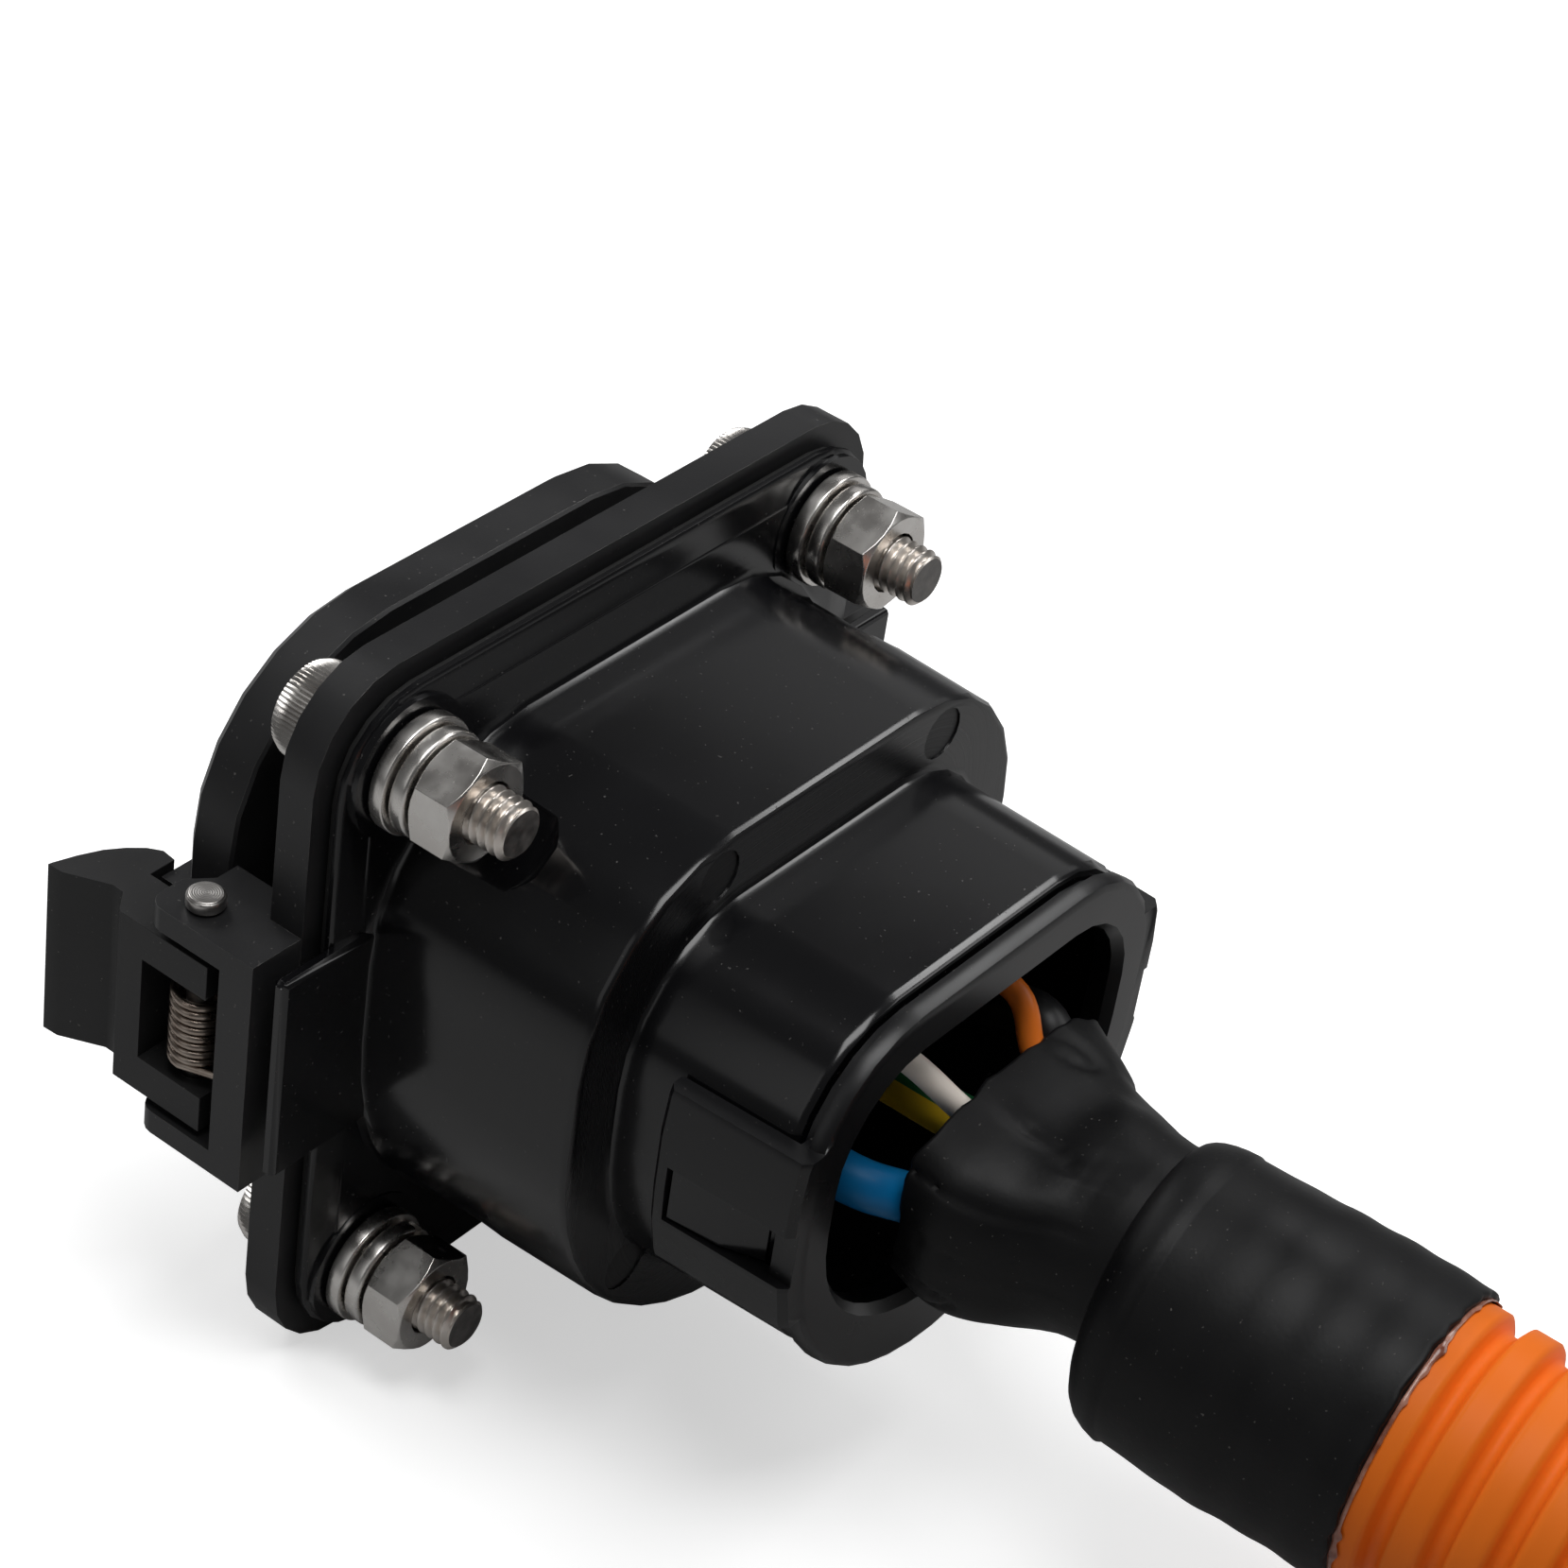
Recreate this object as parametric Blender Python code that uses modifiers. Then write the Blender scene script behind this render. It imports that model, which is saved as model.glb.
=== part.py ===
# Panel charging inlet: moulded housing, metal frame with latch, hinged cover and cable lead.
# The inlet axis runs along Y: the cover faces -Y, the cable leaves towards +Y, the latch is on +X.
# Pieces are built round the inlet axis, with Y = 0 on the rear face of the frame plate.
import math

import bmesh
import bpy
from mathutils import Matrix, Vector

mm = 0.001

# Clearances
touchGap = 0.3 * mm
runGap = 0.3 * mm
flushStep = 0.15 * mm

# Frame plate and its four M6 fasteners
plateSide = 80 * mm
plateThickness = 4 * mm
plateCorner = 10 * mm
plateOpeningGap = 0.5 * mm
boltSpacing = 60 * mm
boltRadius = 2.9 * mm
boltHoleRadius = 3.3 * mm
boltTail = 15.7 * mm
boltTipChamfer = 0.55 * mm
headRadius = 5 * mm
headHeight = 6 * mm
headSocketAcross = 5 * mm
headSocketDepth = 3 * mm
washerRadius = 6 * mm
washerThickness = 1.6 * mm
springWasherRadius = 5.5 * mm
springWasherThickness = 1.7 * mm
springWasherSplit = 1.2 * mm
nutAcross = 10 * mm
nutThickness = 4.9 * mm
nutBore = 3.2 * mm

# Gasket and housing flange
gasketThickness = 0.5 * mm
flangeSide = 76.4 * mm
flangeCorner = 9.5 * mm
flangeThickness = 1.4 * mm
flangeEdgeBand = 3.6 * mm
padRadius = 7.3 * mm
flangeTabReach = 45.1 * mm
flangeTabHeight = 23.3 * mm
flangeTabMiddle = 1.45 * mm
flangeTabProud = 0.4 * mm

# Housing sections: half width, flat top, upper corner radius, lower depth
rimFront = -10.6 * mm
rimSection = (30.8 * mm, 26.5 * mm, 18.0 * mm, 30.8 * mm)
bodyBase = (33.6 * mm, 28.9 * mm, 19.5 * mm, 33.6 * mm)
bodyRear = (33.0 * mm, 28.3 * mm, 19.4 * mm, 33.0 * mm)
bodyLength = 25 * mm
bodyEdge = 0.9 * mm
baseFillet = 1.1 * mm
tailBase = (26.9 * mm, 20.5 * mm, 14.2 * mm, 26.9 * mm)
tailRear = (26.3 * mm, 20.3 * mm, 14.0 * mm, 26.3 * mm)
tailEnd = 46.3 * mm
tailFillet = 1.0 * mm
tailWall = 2.4 * mm
grooveSection = (28.4 * mm, 24.1 * mm, 15.6 * mm, 28.4 * mm)
islandSection = (23.4 * mm, 19.1 * mm, 11.8 * mm, 23.4 * mm)
islandFront = -6.2 * mm
grooveFloor = 19.0 * mm
webThickness = 4.0 * mm
reliefRadius = 8.6 * mm
reliefRadiusLow = 10.6 * mm
reliefEnd = 15.5 * mm
ejectorRadius = 2.8 * mm
ejectorPlaces = [(15.6 * mm, 24.4 * mm), (-18.3 * mm, 23.8 * mm), (22.0 * mm, -19.0 * mm)]
ejectorDepth = 0.2 * mm

# Contacts
powerRow = -1.0 * mm
powerSpread = 14.6 * mm
signalSpread = 7.2 * mm
signalHeight = 10.2 * mm
spareSpread = 7.4 * mm
spareHeight = -14.2 * mm
powerWell = 5.2 * mm
signalWell = 3.7 * mm
powerPin = 3.0 * mm
signalPin = 1.5 * mm
pinTip = 1.5 * mm
collarThickness = 1.6 * mm
barrelLength = 9.5 * mm
barrelBore = 4 * mm
powerBarrel = 3.4 * mm
signalBarrel = 2.0 * mm
retainerThickness = 3.0 * mm

# Rear cap
capRear = 49.6 * mm
capRim = (26.6 * mm, 20.2 * mm, 14.2 * mm, 26.9 * mm)
capGroove = 1.3 * mm
capGrooveEnd = 47.7 * mm
capWindow = (21.8 * mm, 15.0 * mm, 10.0 * mm, 19.3 * mm)
capEdge = 1.0 * mm
armFront = 33.9 * mm
armTop = 11.2 * mm
armBottom = -9.2 * mm
armThickness = 1.9 * mm
armEdge = 0.7 * mm
catchFront = 35.6 * mm
catchRear = 47.0 * mm
catchTop = 3.1 * mm
catchBottom = -3.4 * mm
catchFlat = 6.0 * mm
catchSlope = 10.2 * mm
releaseDepth = 1.2 * mm

# Cover
coverRear = -12.1 * mm
coverThickness = 5.8 * mm
coverSection = (34.1 * mm, 33.7 * mm, 19.8 * mm, 34.0 * mm)
coverShift = 2.7 * mm
coverChamfer = 1.0 * mm
sealWidth = 3.0 * mm
coverTabReach = 38.7 * mm
coverTabHeight = 19.2 * mm
coverTabFront = -18.9 * mm
coverTabRear = -13.5 * mm
hingeX = -43.4 * mm
hingeY = -10.2 * mm
hingeOuter = 3.2 * mm
hingePin = 1.5 * mm
hingeHeight = 24 * mm
knuckleHeight = 12 * mm

# Latch
bracketProud = 0.4 * mm
bracketHeight = 27 * mm
bracketMiddle = 0.6 * mm
bracketInner = 36.5 * mm
bracketFront = -11.5 * mm
earFront = -13.5 * mm
earCorner = 1.8 * mm
earThickness = 2.6 * mm
latchClearance = 1.2 * mm
latchDepth = 5.9 * mm
latchPinInset = 3.0 * mm
latchPinY = -9.3 * mm
latchPinRadius = 1.3 * mm
latchPinHead = 1.9 * mm
latchPinProud = 1.6 * mm
latchRear = -6.0 * mm
latchTop = 10.4 * mm
latchLow = -9.4 * mm
hookBite = 2.2 * mm
latchTip = -26.6 * mm
latchWindow = (-14.1 * mm, -5.3 * mm, 6.5 * mm)
latchHeel = 1.5 * mm
hookRise = 5.7 * mm
fingerProfile = [
    (0, 9.4 * mm), (0.3 * mm, 9.1 * mm), (2.2 * mm, 7.6 * mm), (2.2 * mm, 6.2 * mm), (0.1 * mm, 1.8 * mm), (0, 0),
    (0.5 * mm, 0.1 * mm), (2.7 * mm, 0.8 * mm), (5.3 * mm, 1.9 * mm), (7.1 * mm, 3.1 * mm), (8.5 * mm, 4.4 * mm),
]
springRadius = 2.45 * mm
springWire = 0.4 * mm
springTurns = 8
springLength = 8.0 * mm
springLegSlant = 1.6 * mm

# Heat-shrink boots, wires and the cable lead
sleeveStart = (0.9 * mm, 69.8 * mm, -5.1 * mm)
sleeveEnd = (-1.0 * mm, 99.3 * mm, -6.5 * mm)
sleeveRadius = 15.4 * mm
sleeveShoulder = 3.6 * mm
bootRings = [
    (-2.9 * mm, 50.4 * mm, -4.1 * mm, 16.4 * mm, 10.6 * mm),
    (-1.7 * mm, 54.9 * mm, -4.7 * mm, 15.9 * mm, 10.9 * mm),
    (-0.9 * mm, 59.4 * mm, -4.8 * mm, 13.9 * mm, 10.9 * mm),
    (-0.9 * mm, 63.8 * mm, -4.0 * mm, 12.0 * mm, 11.1 * mm),
    (-0.7 * mm, 68.3 * mm, -3.4 * mm, 10.6 * mm, 10.6 * mm),
]
bootWall = 0.9 * mm
bootNeckEnd = 3 * mm
powerWire = 2.4 * mm
signalWire = 1.1 * mm
wireBendY = 46 * mm
leadRadius = 14.2 * mm
endBootLength = 46 * mm
tailLength = 34 * mm

# The route of the lead, from inside the sleeve to its far end on the surface
leadRoute = [
    (0.0006, 0.0740, -0.0053), (-0.0010, 0.0993, -0.0065), (-0.0027, 0.1260, -0.0082), (-0.0042, 0.1540, -0.0110),
    (-0.0050, 0.1830, -0.0151), (-0.0048, 0.2130, -0.0200), (-0.0030, 0.2430, -0.0238), (0.0010, 0.2740, -0.0257),
    (0.0075, 0.3050, -0.0258), (0.0170, 0.3360, -0.0258), (0.0295, 0.3660, -0.0258), (0.0450, 0.3950, -0.0258),
    (0.0630, 0.4230, -0.0258), (0.0830, 0.4500, -0.0258),
]

# Sides of round pieces
fineSides = 32
coarseSides = 20

flangeFront = gasketThickness + 2 * touchGap
flangeRear = flangeFront + flangeThickness
flangeFlat = flangeRear - flushStep
bodyEnd = flangeRear + bodyLength
webRear = grooveFloor + webThickness
armRear = capRear - flushStep
latchInner = coverTabReach + latchClearance
latchOuter = latchInner + latchDepth
latchPinX = latchInner + latchPinInset
latchNose = coverTabReach - hookBite
bracketReach = latchOuter + bracketProud
bolt = boltSpacing / 2
bracketTop = bracketMiddle + bracketHeight / 2
bracketLow = bracketMiddle - bracketHeight / 2
webFront = -plateThickness - flushStep
coverFront = coverRear - coverThickness

contacts = {
    "l1": (-powerSpread, powerRow, True),
    "pe": (0.0, powerRow, True),
    "n": (powerSpread, powerRow, True),
    "cp": (-signalSpread, signalHeight, False),
    "pp": (signalSpread, signalHeight, False),
}
spares = [(-spareSpread, spareHeight), (spareSpread, spareHeight)]


def clearScene():
    for item in list(bpy.data.objects):
        bpy.data.objects.remove(item, do_unlink=True)


def makeCollection(name):
    found = bpy.data.collections.new(name)
    bpy.context.scene.collection.children.link(found)
    return found


def makeMaterial(name, color, metallic=0.0, roughness=0.4):
    material = bpy.data.materials.new(name)
    material.use_nodes = True
    shader = material.node_tree.nodes["Principled BSDF"]
    shader.inputs["Base Color"].default_value = (*color, 1.0)
    shader.inputs["Metallic"].default_value = metallic
    shader.inputs["Roughness"].default_value = roughness
    return material


def addObject(name, mesh, smooth=False):
    item = bpy.data.objects.new(name, mesh)
    partCollection.objects.link(item)
    for face in mesh.polygons:
        face.use_smooth = smooth
    if smooth:
        mesh.set_sharp_from_angle(angle=math.radians(35))
    return item


def meshFrom(build, mergeAt=0.002 * mm):
    """A mesh from a function that fills a bmesh, with its faces turned outwards."""
    work = bmesh.new()
    build(work)
    bmesh.ops.remove_doubles(work, verts=work.verts, dist=mergeAt)
    bmesh.ops.recalc_face_normals(work, faces=work.faces)
    mesh = bpy.data.meshes.new("shape")
    work.to_mesh(mesh)
    work.free()
    return mesh


def bake(item):
    """The shape of a curve or a modified object as a plain mesh in world places."""
    bpy.context.view_layer.update()
    graph = bpy.context.evaluated_depsgraph_get()
    mesh = bpy.data.meshes.new_from_object(item.evaluated_get(graph))
    mesh.transform(item.matrix_world)
    data = item.data
    bpy.data.objects.remove(item, do_unlink=True)
    if isinstance(data, bpy.types.Curve):
        bpy.data.curves.remove(data)
    work = bmesh.new()
    work.from_mesh(mesh)
    bmesh.ops.remove_doubles(work, verts=work.verts, dist=0.002 * mm)
    bmesh.ops.recalc_face_normals(work, faces=work.faces)
    work.to_mesh(mesh)
    work.free()
    return mesh


# Outlines in the XZ plane are lists of (x, z) points

def arc(centreX, centreZ, radiusX, radiusZ, start, end, steps):
    points = []
    for step in range(steps + 1):
        angle = math.radians(start + (end - start) * step / steps)
        points.append((centreX + radiusX * math.cos(angle), centreZ + radiusZ * math.sin(angle)))
    return points


def dOutline(section, grow=0.0, cornerSteps=6, lowerSteps=22):
    """A D lying on its back: flat top, rounded upper corners and a round lower half."""
    half, top, corner, depth = (value + grow for value in section)
    right = arc(half - corner, top - corner, corner, corner, 90, 0, cornerSteps)
    lower = arc(0, 0, half, depth, 0, -180, lowerSteps)
    left = arc(corner - half, top - corner, corner, corner, 180, 90, cornerSteps)
    return right + lower + left


def roundedRect(halfX, halfZ, radius, steps=5, middle=(0.0, 0.0)):
    points = []
    for signX, signZ, start in ((1, 1, 90), (1, -1, 0), (-1, -1, -90), (-1, 1, -180)):
        centreX = middle[0] + signX * (halfX - radius)
        centreZ = middle[1] + signZ * (halfZ - radius)
        points += arc(centreX, centreZ, radius, radius, start, start - 90, steps)
    return points


def circleOutline(radius, centre=(0.0, 0.0), sides=coarseSides):
    return arc(centre[0], centre[1], radius, radius, 0, 360 - 360 / sides, sides - 1)


def slab(loops, low, high, plane="XZ"):
    """A flat outline with its holes, filled and given depth: along Y for XZ outlines, along Z for XY ones."""
    curve = bpy.data.curves.new("outline", "CURVE")
    curve.dimensions = "2D"
    curve.fill_mode = "BOTH"
    curve.extrude = (high - low) / 2
    for loop in loops:
        spline = curve.splines.new("POLY")
        spline.points.add(len(loop) - 1)
        for point, (across, up) in zip(spline.points, loop):
            point.co = (across, up, 0, 1)
        spline.use_cyclic_u = True
    item = bpy.data.objects.new("outline", curve)
    partCollection.objects.link(item)
    middle = (low + high) / 2
    if plane == "XZ":
        item.rotation_euler = (math.radians(90), 0, 0)
        item.location = (0, middle, 0)
    else:
        item.location = (0, 0, middle)
    return bake(item)


def loftRings(rings, closed=False):
    """Quads between rings of equally many points. Open stacks get an end face at both ends."""
    def build(work):
        made = [[work.verts.new(point) for point in ring] for ring in rings]
        count = len(rings[0])
        pairs = list(zip(made, made[1:]))
        if closed:
            pairs.append((made[-1], made[0]))
        for first, second in pairs:
            for index in range(count):
                after = (index + 1) % count
                work.faces.new((first[index], first[after], second[after], second[index]))
        if not closed:
            work.faces.new(made[0])
            work.faces.new(made[-1])
    return meshFrom(build)


def standing(outline, y):
    return [(x, y, z) for x, z in outline]


def dLoft(stations):
    return loftRings([standing(dOutline(section, grow), y) for y, section, grow in stations])


def turned(profile, place=None, sides=fineSides):
    """A profile of (radius, along) points turned round its axis. place carries the Z axis to where it belongs."""
    mesh = bpy.data.meshes.new("profile")
    points = [(radius, 0, along) for radius, along in profile]
    closed = profile[0][0] > 0
    edges = [(index, index + 1) for index in range(len(points) - 1)]
    if closed:
        edges.append((len(points) - 1, 0))
    mesh.from_pydata(points, edges, [])
    item = bpy.data.objects.new("profile", mesh)
    partCollection.objects.link(item)
    screw = item.modifiers.new("turn", "SCREW")
    screw.steps = sides
    screw.render_steps = sides
    screw.use_merge_vertices = True
    screw.merge_threshold = 0.01 * mm
    item.matrix_world = place or Matrix.Identity(4)
    return bake(item)


def alongY(x, y, z):
    """Carries +Z to +Y, to stand turned pieces on the inlet axis."""
    return Matrix.Translation((x, y, z)) @ Matrix.Rotation(math.radians(-90), 4, "X")


def tube(points, radius, resolution=2):
    curve = bpy.data.curves.new("run", "CURVE")
    curve.dimensions = "3D"
    curve.bevel_depth = radius
    curve.bevel_resolution = resolution
    curve.use_fill_caps = True
    spline = curve.splines.new("POLY")
    spline.points.add(len(points) - 1)
    for point, place in zip(spline.points, points):
        point.co = (*place, 1)
    item = bpy.data.objects.new("run", curve)
    partCollection.objects.link(item)
    return bake(item)


def smoothRoute(points, spacing):
    """Points read at even spacing from a smooth curve through the given ones."""
    nodes = [Vector(point) for point in points]
    nodes = [nodes[0] * 2 - nodes[1]] + nodes + [nodes[-1] * 2 - nodes[-2]]
    fine = []
    for index in range(1, len(nodes) - 2):
        before, start, end, after = nodes[index - 1:index + 3]
        for step in range(24):
            t = step / 24
            fine.append(0.5 * (2 * start + (end - before) * t + (2 * before - 5 * start + 4 * end - after) * t * t
                               + (3 * start - before - 3 * end + after) * t ** 3))
    fine.append(nodes[-2])
    total = sum((second - first).length for first, second in zip(fine, fine[1:]))
    count = max(2, round(total / spacing))
    route = [fine[0]]
    walked = 0.0
    for first, second in zip(fine, fine[1:]):
        step = (second - first).length
        while len(route) < count and walked + step >= total * len(route) / count:
            share = (total * len(route) / count - walked) / step
            route.append(first.lerp(second, share))
        walked += step
    route.append(fine[-1])
    return route


def box(low, high):
    def build(work):
        bmesh.ops.create_cube(work, size=1.0)
        for vert in work.verts:
            vert.co = Vector(low) + Vector(
                (end - start) * (place + 0.5) for start, end, place in zip(low, high, vert.co)
            )
    return meshFrom(build)


def combine(mesh, others, operation):
    """Cuts or joins plain meshes, one after another."""
    base = bpy.data.objects.new("base", mesh)
    partCollection.objects.link(base)
    cutters = []
    for index, other in enumerate(others):
        cutter = bpy.data.objects.new("cutter", other)
        cutter.display_type = "WIRE"
        cutter.hide_render = True
        cutterCollection.objects.link(cutter)
        cutters.append(cutter)
        step = base.modifiers.new("step", "BOOLEAN")
        step.operation = operation
        step.solver = "EXACT"
        step.object = cutter
    done = bake(base)
    for cutter in cutters:
        bpy.data.objects.remove(cutter, do_unlink=True)
    return done


def cut(mesh, others):
    return combine(mesh, others, "DIFFERENCE")


def join(mesh, others):
    return combine(mesh, others, "UNION")


def common(mesh, others):
    return combine(mesh, others, "INTERSECT")


def softenEdges(mesh, width, segments=1, angle=40):
    """A bevel on the edges that are sharper than the angle."""
    item = bpy.data.objects.new("edges", mesh)
    partCollection.objects.link(item)
    bevel = item.modifiers.new("edges", "BEVEL")
    bevel.width = width
    bevel.segments = segments
    bevel.limit_method = "ANGLE"
    bevel.angle_limit = math.radians(angle)
    return bake(item)


def finish(name, mesh, material, smooth=True):
    mesh.materials.clear()
    mesh.materials.append(material)
    item = addObject(name, mesh, smooth)
    pieces[name] = item
    return item


def cylinderY(radius, low, high, centre, sides=coarseSides):
    return turned([(0, 0), (radius, 0), (radius, high - low), (0, high - low)],
                  alongY(centre[0], low, centre[1]), sides)


def boltPlaces():
    return [(signX * bolt, signZ * bolt) for signZ in (1, -1) for signX in (1, -1)]


def pinBore(radius, x, y, low, high):
    return turned([(0, low), (radius, low), (radius, high), (0, high)], Matrix.Translation((x, y, 0)), coarseSides)


def makeFramePlate():
    """The metal frame, with the latch bracket on one side and two hinge ears on the other."""
    holes = [circleOutline(boltHoleRadius, place) for place in boltPlaces()]
    opening = dOutline(rimSection, plateOpeningGap)
    plate = slab([roundedRect(plateSide / 2, plateSide / 2, plateCorner), opening] + holes, -plateThickness, 0)
    outline = [(bracketInner, -flushStep), (bracketInner, bracketFront),
               (coverTabReach + 0.5 * mm, bracketFront), (latchPinX - latchPinHead + 0.7 * mm, earFront)]
    outline += arc(bracketReach - earCorner, earFront + earCorner, earCorner, earCorner, -90, 0, 4)
    outline += [(bracketReach, -flushStep)]
    bracket = slab([outline], bracketLow, bracketTop, "XY")
    between = box((bracketInner - mm, earFront - mm, bracketLow + earThickness),
                  (bracketReach + mm, webFront, bracketTop - earThickness))
    bore = pinBore(latchPinRadius + runGap, latchPinX, latchPinY, bracketLow - mm, bracketTop + mm)
    bracket = cut(bracket, [between, bore])
    base = hingeX - hingeOuter
    halfHinge = hingeHeight / 2
    outline = arc(hingeX, hingeY, hingeOuter, hingeOuter, 180, 360, 10)
    outline += [(hingeX + hingeOuter, webFront), (4 * mm - plateSide / 2, webFront),
                (4 * mm - plateSide / 2, -flushStep), (base, -flushStep)]
    hinge = slab([outline], -halfHinge, halfHinge, "XY")
    slot = knuckleHeight / 2 + touchGap
    between = box((base - mm, hingeY - 2 * hingeOuter, -slot), (hingeX + 3 * hingeOuter, webFront, slot))
    bore = pinBore(hingePin + runGap, hingeX, hingeY, -hingeHeight, hingeHeight)
    hinge = cut(hinge, [between, bore])
    return finish("frame_plate", join(plate, [bracket, hinge]), anodised, smooth=False)


def makeGasket():
    """A thin seal between the frame and the housing flange."""
    half = flangeSide / 2 - 0.4 * mm
    outline = roundedRect(half, half, flangeCorner - 0.4 * mm)
    holes = [circleOutline(boltHoleRadius, place) for place in boltPlaces()]
    loops = [outline, dOutline(rimSection, plateOpeningGap)] + holes
    return finish("flange_gasket", slab(loops, touchGap, touchGap + gasketThickness), rubber, smooth=False)


def makeFasteners():
    """Four socket-head bolts with their washers, spring washers and nuts."""
    headFront = -plateThickness - touchGap - headHeight
    washerLow = flangeRear + touchGap
    springLow = washerLow + washerThickness + touchGap
    nutLow = springLow + springWasherThickness + touchGap
    for number, (x, z) in enumerate(boltPlaces(), 1):
        shank = boltRadius
        profile = [
            (0, headFront), (headRadius - 0.4 * mm, headFront), (headRadius, headFront + 0.4 * mm),
            (headRadius, headFront + headHeight), (shank, headFront + headHeight),
            (shank, boltTail - boltTipChamfer), (shank - boltTipChamfer, boltTail), (0, boltTail),
        ]
        body = turned(profile, alongY(x, 0, z), 24)
        socket = turned([(0, -mm), (headSocketAcross / math.sqrt(3), -mm),
                         (headSocketAcross / math.sqrt(3), headSocketDepth), (0, headSocketDepth)],
                        alongY(x, headFront, z), 6)
        finish(f"bolt_{number}", cut(body, [socket]), stainless)
        finish(f"washer_{number}", turned(
            [(boltHoleRadius, 0), (washerRadius - 0.2 * mm, 0), (washerRadius, 0.2 * mm),
             (washerRadius, washerThickness), (boltHoleRadius, washerThickness)],
            alongY(x, washerLow, z), 24), stainless)
        ring = turned(
            [(boltHoleRadius, 0), (springWasherRadius, 0), (springWasherRadius, springWasherThickness),
             (boltHoleRadius, springWasherThickness)], alongY(x, springLow, z), 24)
        gapAt = Matrix.Translation((x, springLow, z)) @ Matrix.Rotation(math.radians(25 + 70 * number), 4, "Y")
        split = box((0, -mm, -springWasherSplit / 2), (8 * mm, 3 * mm, springWasherSplit / 2))
        split.transform(gapAt)
        finish(f"spring_washer_{number}", cut(ring, [split]), stainless)
        finish(f"nut_{number}", makeNut(x, nutLow, z), stainless, smooth=False)


def makeNut(x, low, z):
    """A hexagon whose corners are cut back by a cone at both faces."""
    corner = nutAcross / math.sqrt(3)
    hexagon = slab([arc(x, z, corner, corner, 90, -210, 5)], low, low + nutThickness)
    cone = turned([(0, 0), (nutAcross / 2 - 0.1 * mm, 0), (corner + 0.3 * mm, 0.75 * mm),
                   (corner + 0.3 * mm, nutThickness - 0.75 * mm), (nutAcross / 2 - 0.1 * mm, nutThickness),
                   (0, nutThickness)], alongY(x, low, z), 24)
    return cut(common(hexagon, [cone]), [cylinderY(nutBore, low - mm, low + nutThickness + mm, (x, z))])


def makeHousing():
    """One glossy moulding: front rim, flange, main body, stepped tail and the contact island inside."""
    flat = flangeFlat
    outer = dLoft([
        (rimFront, rimSection, -0.5 * mm),
        (rimFront + 0.5 * mm, rimSection, 0),
        (flangeFront + 0.4 * mm, rimSection, 0),
        (flangeFront + 0.5 * mm, bodyBase, baseFillet),
        (flat, bodyBase, baseFillet),
        (flat + 0.3 * baseFillet, bodyBase, 0.3 * baseFillet),
        (flat + baseFillet, bodyBase, 0),
        (bodyEnd - bodyEdge, bodyRear, 0),
        (bodyEnd - 0.3 * bodyEdge, bodyRear, -0.3 * bodyEdge),
        (bodyEnd, bodyRear, -bodyEdge),
        (bodyEnd, tailBase, tailFillet),
        (bodyEnd + 0.3 * tailFillet, tailBase, 0.3 * tailFillet),
        (bodyEnd + tailFillet, tailBase, 0),
        (tailEnd - 0.8 * mm, tailRear, 0),
        (tailEnd, tailRear, -0.5 * mm),
    ])
    half = flangeSide / 2
    band = flangeEdgeBand
    flange = loftRings([
        standing(roundedRect(half, half, flangeCorner), flangeFront),
        standing(roundedRect(half, half, flangeCorner), flangeFront + 0.5 * mm),
        standing(roundedRect(half - 0.5 * mm, half - 0.5 * mm, flangeCorner), flangeFront + 0.8 * mm),
        standing(roundedRect(half - band, half - band, flangeCorner - mm), flat - 0.2 * mm),
        standing(roundedRect(half - band - 0.3 * mm, half - band - 0.3 * mm, flangeCorner - mm), flat),
    ])
    pads = [cylinderY(padRadius, flangeFront + 0.3 * mm, flangeRear, place, 28) for place in boltPlaces()]
    tabs = []
    for sign in (1, -1):
        low = flangeTabMiddle - flangeTabHeight / 2
        near, far = sorted((sign * (half - 6 * mm), sign * flangeTabReach))
        tab = box((near, flangeFront + 0.1 * mm, low), (far, flangeRear + flangeTabProud, low + flangeTabHeight))
        tabs.append(softenEdges(tab, 0.5 * mm))
    solid = join(outer, [flange] + pads + tabs + makeCatches())
    return finish("housing", cut(solid, makeHousingCuts()), glossBlack)


def makeCatches():
    """Two wedges that the clip arms of the rear cap snap over."""
    found = []
    for sign in (1, -1):
        root = tailRear[0] - 2.0 * mm
        low = catchBottom + touchGap
        high = catchTop - touchGap
        top = tailRear[0] + touchGap + armThickness
        front = catchFront + touchGap
        end = catchFront + catchSlope
        profile = [(root, front), (top, front), (top - 0.5 * mm, catchFront + catchFlat),
                   (tailRear[0] + 0.2 * mm, end), (root, end)]
        found.append(slab([[(sign * x, y) for x, y in profile]], low, high, "XY"))
    return found


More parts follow.
